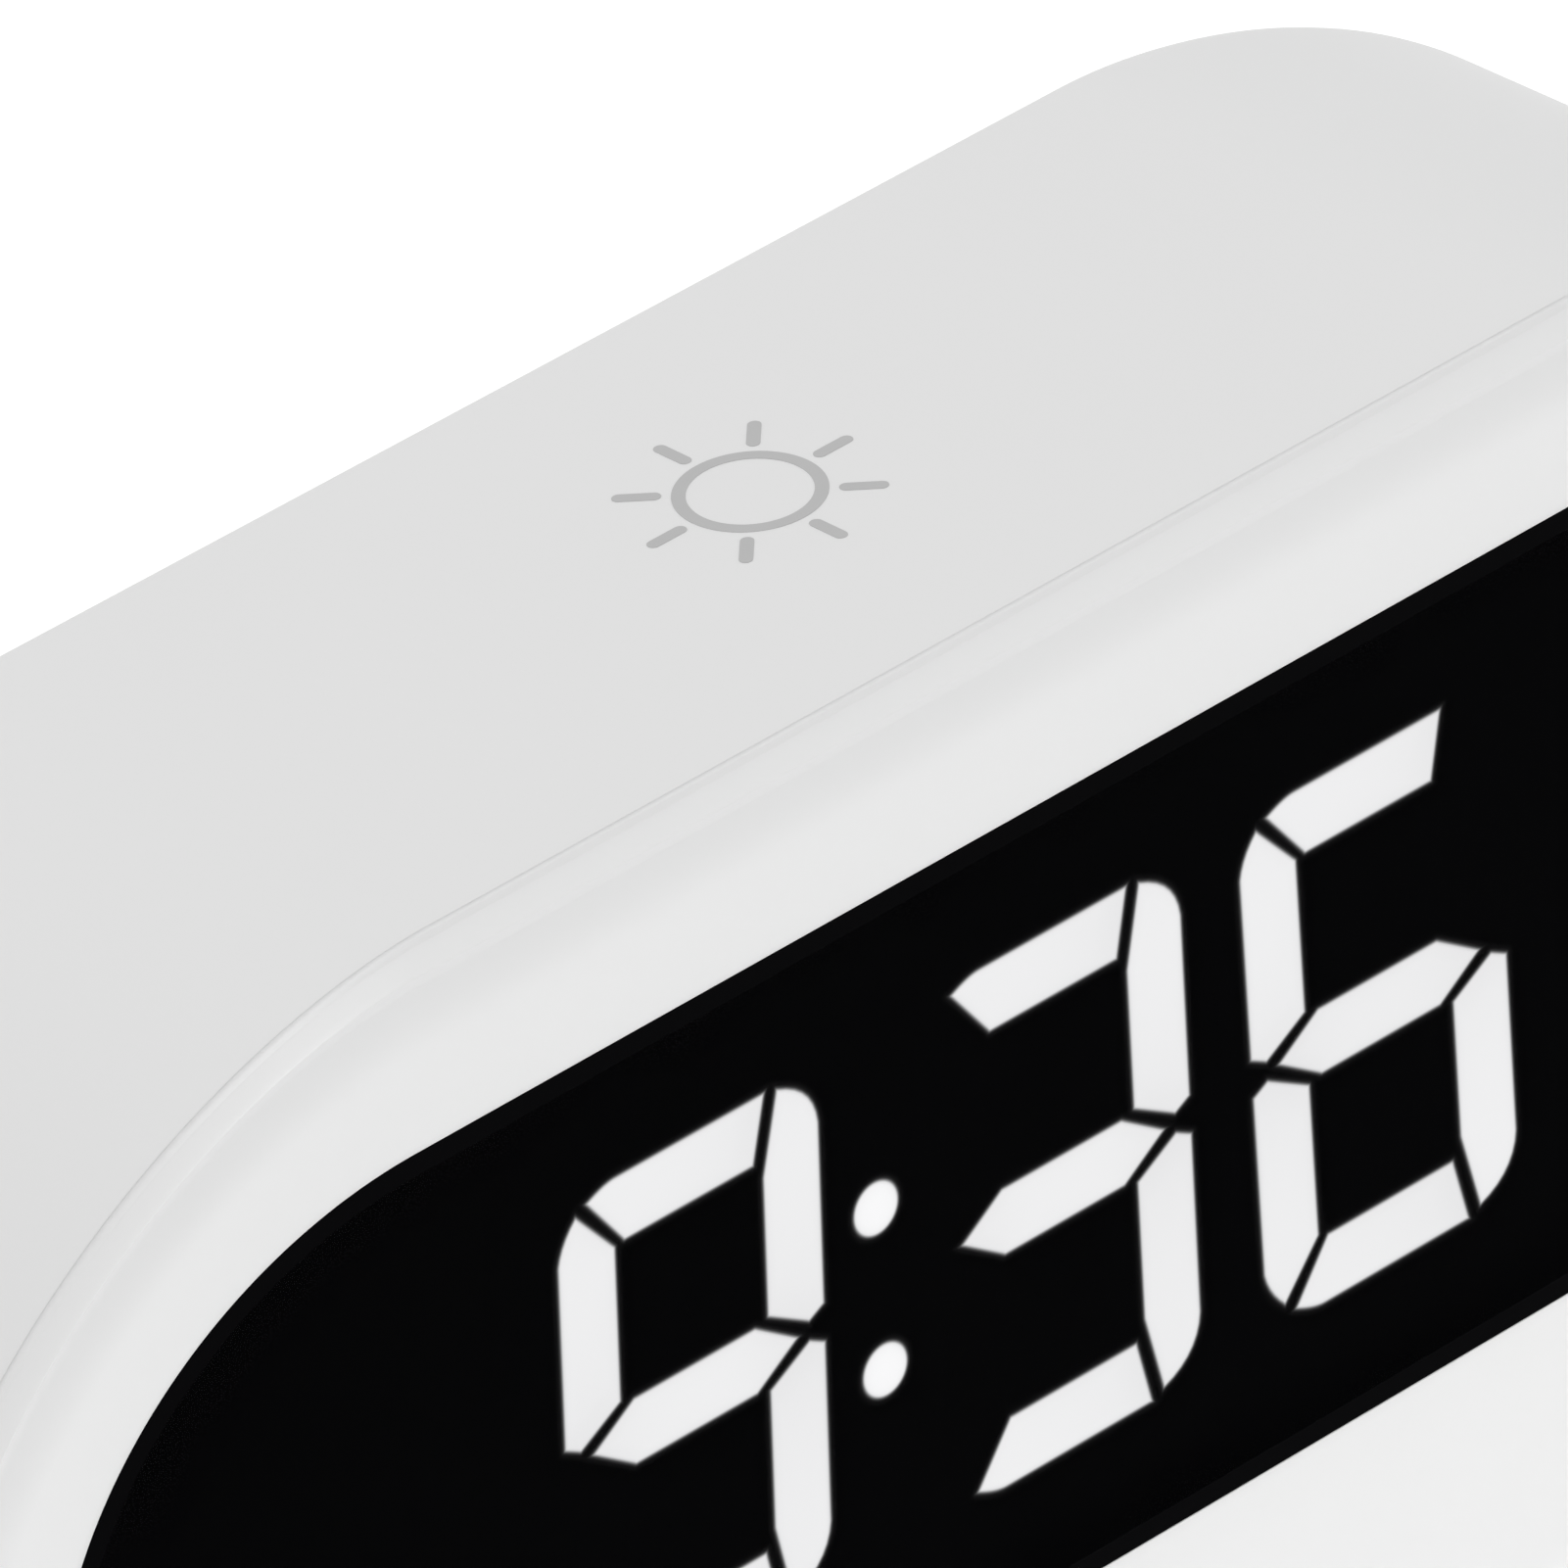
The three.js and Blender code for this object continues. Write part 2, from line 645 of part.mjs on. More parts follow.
function touchLead() {
  const path = new THREE.CatmullRomCurve3([
    new THREE.Vector3(0, TOUCH_Y, BODY.height / 2 - WALL - 3 * SLIT),
    new THREE.Vector3(0, TOUCH_Y, 33),
    new THREE.Vector3(0, TOUCH_Y + 3, 28),
    new THREE.Vector3(0, ON_MAIN_BOARD, 25),
  ]);
  const section = new THREE.Shape();
  section.absarc(0, 0, 0.5, 0, 2 * Math.PI, false);
  return new THREE.ExtrudeGeometry(section, { steps: 12, curveSegments: 4, extrudePath: path });
}

electronics.add(named("main_board", mainBoard(), boardGreen));
electronics.add(
  named("clock_chip", slab(12, 2, 10, 10, [ON_MAIN_BOARD - 1.6, ON_MAIN_BOARD]), chipBlack),
);
electronics.add(
  named(
    "crystal_can",
    bar(24, 6, 1.5, [ON_MAIN_BOARD - 6, ON_MAIN_BOARD], 16),
    steel,
  ),
);
electronics.add(
  named(
    "supply_capacitor",
    bar(-32, -4, 3.2, [ON_MAIN_BOARD - 7.7, ON_MAIN_BOARD], 20),
    darkPlastic,
  ),
);
electronics.add(
  named("board_socket", slab(-6, 10, 13, 5, [BOARD_SOCKET_Y, ON_MAIN_BOARD]), nylon),
);
electronics.add(named("ribbon_cable", ribbonCable(), cableGrey));
electronics.add(
  named(
    "buzzer",
    bar(
      BUZZER.x,
      BUZZER.z,
      BUZZER.radius,
      [BEHIND_MAIN_BOARD, BEHIND_MAIN_BOARD + BUZZER.height],
      24,
    ),
    darkPlastic,
  ),
);
electronics.add(named("usb_socket", usbSocket(), steel));
const tongue = slab(USB.x, USB.z, 6.6, 0.8, [BEHIND_MAIN_BOARD + 1.9, BACK_Y - 1.6]);
electronics.add(named("usb_tongue", tongue, darkPlastic));
electronics.add(named("cell_cradle", cellCradle(), darkPlastic));
electronics.add(named("cell_contact_inner", innerContact(), steel));
electronics.add(named("cell_contact_outer", outerContact(), steel));
electronics.add(
  named("coin_cell", bar(DOOR.x, DOOR.z, CELL.radius, [CELL.front, CELL.back], 32), steel),
);
electronics.add(
  named(
    "touch_pad",
    new THREE.CylinderGeometry(9, 9, 0.2, 24)
      .rotateX(Math.PI / 2)
      .translate(0, TOUCH_Y, BODY.height / 2 - WALL - SLIT - 0.1),
    copper,
  ),
);
electronics.add(named("touch_lead", touchLead(), copper));
boardScrewPlaces.forEach(([place, x, z]) => {
  const geometry = screw(x, z, ON_MAIN_BOARD, 1, 2.2, 8, -1);
  electronics.add(named(`board_screw_${place}`, geometry, steel));
});

// ---- Keys ----
const SWITCH_BACK = INSIDE_BACK_Y - 5.4;
const CAP_INNER = INSIDE_BACK_Y - 2.4;

function switchBody(x) {
  return shaped(
    [slab(x, KEY_Z, 6, 6, [BEHIND_MAIN_BOARD, SWITCH_BACK])],
    [bar(x, KEY_Z, 2, [SWITCH_BACK - 2.5, SWITCH_BACK + 1], 16)],
  );
}

// A turned cap: a retaining flange behind the wall and a dished face outside.
function keyCap(x) {
  const face = BACK_Y + KEY_PROUD;
  const profile = [
    point(0, CAP_INNER),
    point(4.8, CAP_INNER),
    point(4.8, CAP_INNER + 1.8),
    point(3.5, CAP_INNER + 1.8),
    point(3.5, face - 0.4),
    point(3.1, face),
    point(2.4, face),
    point(1.2, face - 0.25),
    point(0, face - 0.3),
  ];
  return new THREE.LatheGeometry(profile, 24).translate(x, 0, KEY_Z);
}

const keys = new THREE.Group();
for (const [name, x] of Object.entries(KEYS)) {
  keys.add(named(`switch_${name}`, switchBody(x), chipBlack));
  const stem = bar(x, KEY_Z, 1.7, [SWITCH_BACK - 1.2, CAP_INNER - SLIT], 16);
  keys.add(named(`plunger_${name}`, stem, nylon));
  keys.add(named(`key_${name}`, keyCap(x), whiteShell));
}

// ---- Battery door ----
function batteryDoor() {
  const lugDepth = [INSIDE_BACK_Y - 1.8, INSIDE_BACK_Y - 0.4];
  return shaped(
    [
      bar(DOOR.x, DOOR.z, DOOR.radius, [lugDepth[0], BACK_Y - 0.2], 40),
      lug(LUG.radius, LUG.halfAngle, 0, lugDepth),
      lug(LUG.radius, LUG.halfAngle, 180, lugDepth),
    ],
    [oblong(DOOR.x, DOOR.z, 14, 2, [BACK_Y - 1.6, BACK_Y + 1])],
  );
}

const door = new THREE.Group();
door.add(named("battery_door", batteryDoor(), whiteShell));

// ---- Whole clock, standing on its feet with the origin under its middle ----
const clock = new THREE.Group();
clock.add(casing, display, electronics, keys, door);
clock.position.set(0, -(BACK_Y + KEY_PROUD) / 2, FOOT.proud - BOTTOM_Z);

export default clock;
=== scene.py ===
"""Bedside alarm clock with light-bar figures: visible pieces, finishes and studio.

Sizes are in millimetres inside the shape functions. x runs right, y runs back from the clock's face and
z runs up from the middle of the window; spot() turns such a place into a point of the frame, in metres.
"""

import json
import math
from collections import namedtuple

import bmesh
import bpy
from bpy.props import FloatProperty, FloatVectorProperty, IntProperty, PointerProperty
from mathutils import Matrix, Vector


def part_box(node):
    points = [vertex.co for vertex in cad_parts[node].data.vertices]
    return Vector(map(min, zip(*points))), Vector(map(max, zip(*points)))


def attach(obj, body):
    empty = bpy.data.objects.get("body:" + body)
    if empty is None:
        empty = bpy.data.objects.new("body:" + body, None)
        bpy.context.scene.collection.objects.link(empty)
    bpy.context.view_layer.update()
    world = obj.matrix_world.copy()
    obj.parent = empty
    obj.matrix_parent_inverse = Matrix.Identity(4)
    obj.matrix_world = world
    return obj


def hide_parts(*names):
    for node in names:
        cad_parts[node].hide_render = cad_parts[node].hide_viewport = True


bl_info = {
    "name": "Bedside Alarm Clock",
    "version": (1, 0, 0),
    "blender": (4, 5, 0),
    "location": "3D View > Sidebar > Clock",
    "description": "Builds the pieces, finishes and studio of a bedside alarm clock",
    "category": "Object",
}

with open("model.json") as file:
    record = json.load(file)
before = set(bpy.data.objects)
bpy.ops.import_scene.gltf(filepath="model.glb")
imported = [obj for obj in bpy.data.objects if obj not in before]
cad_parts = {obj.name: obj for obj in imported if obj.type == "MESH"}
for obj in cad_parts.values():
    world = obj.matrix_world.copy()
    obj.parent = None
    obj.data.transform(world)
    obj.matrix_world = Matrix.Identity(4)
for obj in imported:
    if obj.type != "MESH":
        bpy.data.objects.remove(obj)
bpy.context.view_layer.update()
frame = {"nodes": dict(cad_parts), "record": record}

MM = 0.001
CASE_LOW, CASE_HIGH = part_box("rear_shell")
BEZEL_LOW, BEZEL_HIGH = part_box("front_bezel")
FACE_Y = BEZEL_LOW.y / MM
CHIN = 12.0  # mm, how much further the case reaches below the window's middle than above it
MIDDLE_Z = (CASE_LOW.z + CASE_HIGH.z) / 2 / MM + CHIN / 2
BACK = CASE_HIGH.y / MM - FACE_Y


def linear(hex_colour):
    """The linear RGB of an sRGB hex colour."""
    shares = [int(hex_colour[i : i + 2], 16) / 255 for i in (1, 3, 5)]
    return tuple(s / 12.92 if s <= 0.04045 else ((s + 0.055) / 1.055) ** 2.4 for s in shares)


def spot(x, y, z):
    """A place on the clock as a point of the frame."""
    return Vector((x, y + FACE_Y, z + MIDDLE_Z)) * MM


# ---------------------------------------------------------------- settings


def length(name, description, default, **limits):
    """A size in millimetres, kept as a Blender length."""
    return FloatProperty(
        name=name,
        description=description,
        default=default * MM,
        min=0.0,
        precision=5,
        subtype="DISTANCE",
        unit="LENGTH",
        **limits,
    )


def colour(name, description, hex_colour):
    return FloatVectorProperty(
        name=name,
        description=description,
        default=linear(hex_colour),
        min=0.0,
        max=1.0,
        size=3,
        subtype="COLOR",
    )


class ClockCase(bpy.types.PropertyGroup):
    """The white case and the bezel round its window"""

    width: length("Width", "Length of the case, side to side", (CASE_HIGH.x - CASE_LOW.x) / MM)
    height: length("Height", "Height of the case without its feet", (CASE_HIGH.z - CASE_LOW.z) / MM)
    chin: length("Chin", "How much wider the rim is below the window than above it", CHIN)
    corner_x: length("Corner length", "How far each rounded corner runs along the top", 48)
    corner_z: length("Corner height", "How far each rounded corner runs down the side", 37.5)
    wall: length("Wall", "Thickness of the moulded walls", 2.2)
    back_edge: length("Back edge", "Radius of the edge round the back", 2.4)
    window_width: length("Window width", "Length of the dark window", 170)
    window_height: length("Window height", "Height of the dark window", 56)
    parting: length("Parting line", "Gap between the bezel and the shell", 0.004)
    hole_edge: length("Hole edge", "Radius of the edge round each hole in the back", 0.3)


class ClockDisplay(bpy.types.PropertyGroup):
    """The figures behind the window"""

    hour: IntProperty(name="Hour", description="Hour shown, up to nine", default=9, min=0, max=9)
    minute: IntProperty(name="Minute", description="Minute shown", default=36, min=0, max=59)
    height: length("Figure height", "Height of the light-bar figures", 37.5)
    width: length("Figure width", "Width of the light-bar figures", 22)
    stroke: length("Bar width", "Width of each light bar", 4.75)
    glow: FloatProperty(name="Glow", description="Radiance of a lit bar", default=2.95, min=0.0)
    dot_glow: FloatProperty(
        name="Colon glow", description="Colon's radiance next to a bar's", default=1.07, min=0.0
    )


class ClockColours(bpy.types.PropertyGroup):
    """Colours of the finishes that show"""

    shell: colour("Shell", "Shell, keys and battery door", "#e6e6e6")
    bezel: colour("Bezel", "Front bezel", "#e9e9e9")
    window: colour("Window", "Tint of the window", "#030304")
    ink: colour("Ink", "Printed marks", "#bababa")
    light: colour("Light bars", "Light of the figures", "#fefeff")
    rubber: colour("Feet", "Rubber feet", "#8b8d8f")


class ClockStudio(bpy.types.PropertyGroup):
    """Floor, light and camera"""

    floor_colour: colour("Floor", "Pale floor", "#d8d8d8")
    floor_glow: FloatProperty(name="Floor glow", description="Light up through the floor", default=0.5)
    front_glow: FloatProperty(name="Front glow", description="More of it in front", default=0.38)
    sky: FloatProperty(name="Surround", description="Radiance of the surround", default=0.6, min=0.0)
    top_light: FloatProperty(
        name="Top light", description="Power of the overhead softbox", default=8.2, unit="POWER"
    )
    azimuth: FloatProperty(
        name="Azimuth",
        description="Camera's turn round the clock from straight in front",
        default=math.radians(-40.563),
        subtype="ANGLE",
    )
    elevation: FloatProperty(
        name="Elevation",
        description="Camera's height above the horizon",
        default=math.radians(31.127),
        subtype="ANGLE",
    )
    roll: FloatProperty(
        name="Roll",
        description="Camera's turn about its own axis",
        default=math.radians(-5.19),
        subtype="ANGLE",
    )
    distance: length("Distance", "From the camera to the point it aims at", 1345.79)
    lens: FloatProperty(
        name="Lens", description="Focal length in millimetres", default=499.89, unit="CAMERA"
    )


# ---------------------------------------------------------------- outlines

# An outline's height is twice its reach above the window's middle, and its chin is added below.
Outline = namedtuple("Outline", "width height corner_x corner_z power chin", defaults=(0.0,))
CORNER_STEPS = 56


def case_outline(case):
    chin = case.chin / MM
    height = case.height / MM - chin
    return Outline(case.width / MM, height, case.corner_x / MM, case.corner_z / MM, 1.8, chin)


def front_edge_outline(case):
    """The edge where the domed face ends and the bevelled band begins."""
    across, down = 3.6, 2.2  # mm, how much shorter and lower it is than the case
    chin = case.chin / MM
    return Outline(case.width / MM - across, case.height / MM - chin - down, 43.3, 34.7, 1.8, chin)


def window_outline(case):
    return Outline(case.window_width / MM, case.window_height / MM, 32.1, 27.35, 2.0)


def trace(shape, grow=0.0):
    """Points round a rounded rectangle whose corners are quarter superellipses."""
    side_x, corner_x = shape.width / 2 + grow, shape.corner_x + grow
    points = []
    for quarter, (sign_x, sign_z) in enumerate(((1, 1), (-1, 1), (-1, -1), (1, -1))):
        lower = shape.chin if sign_z < 0 else 0.0
        side_z, corner_z = shape.height / 2 + lower + grow, shape.corner_z + lower + grow
        for step in range(CORNER_STEPS + 1):
            share = step / CORNER_STEPS
            angle = (1 - share if quarter % 2 else share) * math.pi / 2
            x = side_x - corner_x + corner_x * abs(math.cos(angle)) ** (2 / shape.power)
            z = side_z - corner_z + corner_z * abs(math.sin(angle)) ** (2 / shape.power)
            points.append((sign_x * x, sign_z * z))
    return points


def circle(radius, steps=64, x=0.0, z=0.0):
    return [
        (x + radius * math.cos(2 * math.pi * i / steps), z + radius * math.sin(2 * math.pi * i / steps))
        for i in range(steps)
    ]


def arc(radius, start, end, steps, z=0.0):
    """Points along an arc round (0, z); angles in degrees."""
    turns = [math.radians(start + (end - start) * i / steps) for i in range(steps + 1)]
    return [(radius * math.cos(t), z + radius * math.sin(t)) for t in turns]


def rectangle(width, height, x=0.0, z=0.0):
    """The corners of an upright rectangle."""
    a, b = width / 2, height / 2
    return [(x - a, z - b), (x + a, z - b), (x + a, z + b), (x - a, z + b)]


def oblong(width, height, x=0.0, z=0.0, steps=12):
    """A slot's outline with round ends."""
    radius, reach = height / 2, (width - height) / 2
    points = []
    for side, start in ((1, -90), (-1, 90)):
        for i in range(steps + 1):
            angle = math.radians(start + 180 * i / steps)
            points.append((x + side * reach + radius * math.cos(angle), z + radius * math.sin(angle)))
    return points


def wedge(radius, half_angle, middle, steps=10):
    """A pie slice about the origin; angles in degrees."""
    return [(0.0, 0.0), *arc(radius, middle - half_angle, middle + half_angle, steps)]


def between(first, second, share):
    return [(a + (c - a) * share, b + (d - b) * share) for (a, b), (c, d) in zip(first, second)]


def offset(points, distance):
    """A convex outline, listed anticlockwise, drawn in by a distance, or out where it is negative."""
    moved = []
    for i, (x, z) in enumerate(points):
        before, after = Vector(points[i - 1]), Vector(points[(i + 1) % len(points)])
        into = (Vector((x, z)) - before).normalized()
        out = (after - Vector((x, z))).normalized()
        bisector = Vector((-into.y - out.y, into.x + out.x)).normalized()
        reach = distance / max(0.35, bisector.dot(Vector((-out.y, out.x))))
        moved.append((x + bisector.x * reach, z + bisector.y * reach))
    return moved


def level(points, y, x=0.0, z=0.0):
    """A flat outline as points of the frame, at a depth behind the clock's face."""
    return [spot(x + a, y, z + b) for a, b in points]


def quarter_round(radius, steps=6):
    """(along, across) shares of a rounded edge, from flat across to flat along."""
    return [
        (radius * (1 - math.cos(t)), radius * (1 - math.sin(t)))
        for t in (math.pi / 2 * i / steps for i in range(steps + 1))
    ]


# ---------------------------------------------------------------- meshes


def piece_from(name, points, faces, finish=None):
    mesh = bpy.data.meshes.new(name)
    mesh.from_pydata([tuple(p) for p in points], [], faces)
    shape = bmesh.new()
    shape.from_mesh(mesh)
    bmesh.ops.recalc_face_normals(shape, faces=shape.faces)
    shape.to_mesh(mesh)
    shape.free()
    made = bpy.data.objects.new(name, mesh)
    bpy.context.scene.collection.objects.link(made)
    if finish:
        mesh.materials.append(finish)
    return made


def skin(name, loops, finish=None, closed=False):
    """A skin over loops of equal count. Closed joins the last to the first; else both ends have caps."""
    count = len(loops[0])
    points = [p for loop in loops for p in loop]
    faces = []
    for row in range(len(loops) if closed else len(loops) - 1):
        here, there = row * count, (row + 1) % len(loops) * count
        for i in range(count):
            j = (i + 1) % count
            faces.append((here + i, here + j, there + j, there + i))
    if not closed:
        faces.append(tuple(range(count)))
        faces.append(tuple(range((len(loops) - 1) * count, len(loops) * count)))
    return piece_from(name, points, faces, finish)


def turned(name, profile, centre, axis, finish=None, steps=48):
    """A turned solid: (radius, distance along the axis) from one end to the other, both ends flat."""
    along = Vector(axis).normalized()
    side = along.orthogonal().normalized()
    other = along.cross(side)
    loops = []
    for radius, distance in profile:
        ring = []
        for i in range(steps):
            turn = 2 * math.pi * i / steps
            out = side * math.cos(turn) + other * math.sin(turn)
            ring.append(centre + MM * (along * distance + radius * out))
        loops.append(ring)
    return skin(name, loops, finish)


def combine(piece, tools, operation="DIFFERENCE"):
    """Cuts the tools out of a piece, or joins them to it, and removes them."""
    for tool in tools:
        step = piece.modifiers.new("combine", "BOOLEAN")
        step.operation = operation
        step.solver = "EXACT"
        step.object = tool
    bpy.context.view_layer.update()
    depsgraph = bpy.context.evaluated_depsgraph_get()
    mesh = bpy.data.meshes.new_from_object(piece.evaluated_get(depsgraph))
    piece.modifiers.clear()
    old, piece.data = piece.data, mesh
    bpy.data.meshes.remove(old)
    mesh.name = piece.name
    for tool in tools:
        spare = tool.data
        bpy.data.objects.remove(tool)
        bpy.data.meshes.remove(spare)
    tidy = bmesh.new()
    tidy.from_mesh(mesh)
    bmesh.ops.remove_doubles(tidy, verts=tidy.verts, dist=1e-3 * MM)
    tidy.to_mesh(mesh)
    tidy.free()
    return piece


def smooth(piece, angle=32.0):
    """Smooth shading that keeps flat faces flat and edges over the angle crisp."""
    piece.data.shade_smooth()
    piece.data.set_sharp_from_angle(angle=math.radians(angle))
    weighted = piece.modifiers.new("flat faces", "WEIGHTED_NORMAL")
    weighted.keep_sharp = True
    weighted.weight = 100
    return piece


def hole(outline_at, surface, depth, edge):
    """A cutter for a hole in the back with a rounded rim. outline_at(grow) gives its outline."""
    stations = [(surface - depth, 0.0)]
    stations += [(surface - down, grow) for down, grow in rim_stations(edge)]
    stations.append((surface + 1.0, edge))
    return skin("hole", [level(outline_at(grow), y) for y, grow in stations])


def rim_stations(edge, steps=5):
    """(depth below the surface, how far the hole has widened) down a rounded rim, deepest first."""
    turns = [math.pi / 2 * i / steps for i in range(steps + 1)]
    return [(edge * (1 - math.sin(t)), edge * (1 - math.cos(t))) for t in turns]


def printed(name, place, outlines, finish, proud=0.03, sunk=0.05):
    """Thin ink shapes on a flat face. place(u, v, n) gives a point n above the face, and each outline is
    either one loop, or an outer and an inner loop of equal count."""
    points, faces = [], []
    for outline in outlines:
        ring = isinstance(outline[0][0], tuple)
        loops = outline if ring else [outline]
        start, count = len(points), len(loops[0])
        for loop in loops:
            points += [place(u, v, proud) for u, v in loop]
            points += [place(u, v, -sunk) for u, v in loop]
        for k in range(len(loops)):
            top = start + 2 * k * count
            for i in range(count):
                j = (i + 1) % count
                faces.append((top + i, top + j, top + count + j, top + count + i))
        if ring:
            for side in (0, count):
                for i in range(count):
                    j = (i + 1) % count
                    outer, inner = start + side, start + 2 * count + side
                    faces.append((outer + i, outer + j, inner + j, inner + i))
        else:
            faces.append(tuple(range(start, start + count)))
            faces.append(tuple(range(start + count, start + 2 * count)))
    return piece_from(name, points, faces, finish)


def on_back(x, z):
    """Places flat marks on the back, with u to the right of someone who looks at the back."""
    return lambda u, v, n: spot(x - u, BACK + n, z + v)


def settle(piece, body, slot_name, *nodes):
    """Rides a piece on a body and hides the nodes it stands for; its slot name is not used."""
    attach(piece, body)
    if nodes:
        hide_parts(*nodes)
    return piece


# ---------------------------------------------------------------- finishes


def new_finish(name):
    """An empty material, with a function that adds a node with its settings and links to it."""
    material = bpy.data.materials.get(name) or bpy.data.materials.new(name)
    material.use_nodes = True
    tree = material.node_tree
    tree.nodes.clear()

    def add(kind, inputs=None, **settings):
        node = tree.nodes.new(kind)
        for key, value in settings.items():
            setattr(node, key, value)
        for key, value in (inputs or {}).items():
            if isinstance(value, bpy.types.NodeSocket):
                tree.links.new(value, node.inputs[key])
            else:
                node.inputs[key].default_value = value
        return node

    return material, add


def rgba(colour_value, factor=1.0):
    return (*[min(1.0, c * factor) for c in colour_value], 1.0)


def mixed(add, factor, first, second):
    """The output of a colour mix. Its colour sockets come after its number and vector sockets."""
    node = add("ShaderNodeMix", {"Factor": factor}, data_type="RGBA")
    node.inputs[6].default_value = first
    node.inputs[7].default_value = second
    return node.outputs[2]


def noise(add, place, size_mm, detail, **more):
    """Noise whose features are about size_mm across."""
    inputs = {"Vector": place, "Scale": 1 / (size_mm * MM), "Detail": detail, **more}
    return add("ShaderNodeTexNoise", inputs).outputs["Fac"]


def uneven(add, share, middle, either_way):
    """A roughness that varies either way from its middle."""
    inputs = {"Value": share, "To Min": middle - either_way, "To Max": middle + either_way}
    return add("ShaderNodeMapRange", inputs).outputs["Result"]


def relief(add, height, depth_mm, strength=1.0, **settings):
    """The normals of a surface whose relief is depth_mm deep."""
    inputs = {"Height": height, "Distance": depth_mm * MM, "Strength": strength}
    return add("ShaderNodeBump", inputs, **settings).outputs["Normal"]


def end_in(add, inputs):
    """Ends a material in one shader."""
    shader = add("ShaderNodeBsdfPrincipled", inputs)
    add("ShaderNodeOutputMaterial", {"Surface": shader.outputs["BSDF"]})


def grained(name, base, roughness, grain_mm, grain_depth_mm, drift=0.012, drift_mm=22.0, **surface):
    """A finish with a fine surface grain, a slow drift of colour and uneven gloss.

    grain_mm is the size of one grain, and grain_depth_mm how deep it is."""
    material, add = new_finish(name)
    place = add("ShaderNodeTexCoord").outputs["Object"]
    slow = noise(add, place, drift_mm, 3.0)
    fine = noise(add, place, grain_mm, 4.0, Roughness=0.6)
    look = {
        "Base Color": mixed(add, slow, rgba(base, 1 - drift), rgba(base, 1 + drift)),
        "Roughness": uneven(add, fine, roughness, 0.03),
        "Normal": relief(add, fine, grain_depth_mm),
        **surface,
    }
    end_in(add, look)
    return material


def scattering(weight, reach_mm):
    """Settings of ABS that light enters a little way before it comes out again."""
    return {
        "IOR": 1.54,
        "Subsurface Weight": weight,
        "Subsurface Radius": (1, 1, 1),
        "Subsurface Scale": reach_mm * MM,
    }


def shell_abs(colours):
    # ABS, moulded against a lightly spark-eroded tool. Grain near 0.1 mm breaks up every reflection, so the
    # walls look matt and even; it is drawn 0.3 mm coarse, or it wouldn't show at all.
    return grained("shell_abs", colours.shell, 0.52, 0.3, 0.004, drift=0.006, **scattering(0.12, 0.8))


def bezel_abs(colours):
    # ABS, moulded against a finely blasted tool: smoother than the shell, with a soft satin sheen. Light
    # that enters near the dark window is lost there, which dims the last millimetre of the rim.
    return grained("bezel_abs", colours.bezel, 0.46, 0.35, 0.003, drift=0.006, **scattering(0.4, 1.2))


def key_abs(colours):
    # ABS key caps, moulded with a satin face that fingers polish a little.
    darker = [c * 0.93 for c in colours.shell]
    return grained("key_abs", darker, 0.42, 0.3, 0.003, **scattering(0.12, 0.8))


def tinted_acrylic(colours):
    # Acrylic sheet, cast with a near-black tint and coated against glare: a flat black face that only
    # strong light gets through. The sheet has a slow waviness a few centimetres across.
    material, add = new_finish("tinted_acrylic")
    place = add("ShaderNodeTexCoord").outputs["Object"]
    waves = noise(add, place, 30, 1.0)
    smears = noise(add, place, 9, 5.0, Roughness=0.6)
    # Round the rim, where sight lines run through more of the sheet, nothing gets through.
    rim = add("ShaderNodeAttribute", attribute_name="rim").outputs["Fac"]
    cover = add("ShaderNodeMapRange", {"Value": rim, "To Min": 0.45, "To Max": 1.0})
    look = {
        "Base Color": rgba(colours.window),
        "Roughness": uneven(add, smears, 0.15, 0.05),
        "Normal": relief(add, waves, 0.03),
        "IOR": 1.49,
        "Specular IOR Level": 0.008,
        "Alpha": cover.outputs["Result"],
    }
    end_in(add, look)
    return material


def diffuser_film(name, colours, strength):
    # Diffuser film over the light bars, lit from behind by one small chip at the middle of each bar, so a
    # bar is brightest there and its edge spreads a little into the black round it.
    material, add = new_finish(name)
    lit = add("ShaderNodeAttribute", attribute_name="glow").outputs["Fac"]
    ramp = add("ShaderNodeValToRGB", {"Fac": lit})
    ramp.color_ramp.elements[0].color = (0, 0, 0, 1)
    ramp.color_ramp.elements[1].color = rgba(colours.light)
    place = add("ShaderNodeTexCoord").outputs["Object"]
    grain = noise(add, place, 0.5, 3.0)
    look = {
        "Base Color": (0.001, 0.001, 0.001, 1),
        "Roughness": uneven(add, grain, 0.6, 0.1),
        "Specular IOR Level": 0.0,
        "Emission Color": ramp.outputs["Color"],
        "Emission Strength": strength,
    }
    end_in(add, look)
    return material


def pad_ink(colours):
    # Grey two-part ink, pad printed: a thin matt film whose cover varies slightly.
    return grained("pad_ink", colours.ink, 0.6, 0.25, 0.004, drift=0.03, drift_mm=3.0, **{"IOR": 1.5})


def black_abs(name, hex_colour, roughness, grain_mm=0.25, **surface):
    # Black ABS, moulded matt, which hides stray light round the figures.
    surface = {"IOR": 1.54, **surface}
    return grained(name, linear(hex_colour), roughness, grain_mm, 0.004, drift=0.05, **surface)


def foot_rubber(colours):
    # Silicone rubber, moulded: soft, matt, and dusty in the hollows of its skin.
    return grained(
        "silicone_rubber",
        colours.rubber,
        0.78,
        0.5,
        0.02,
        drift=0.06,
        drift_mm=4.0,
        **{"IOR": 1.41, "Sheen Weight": 0.15, "Sheen Roughness": 0.4},
    )


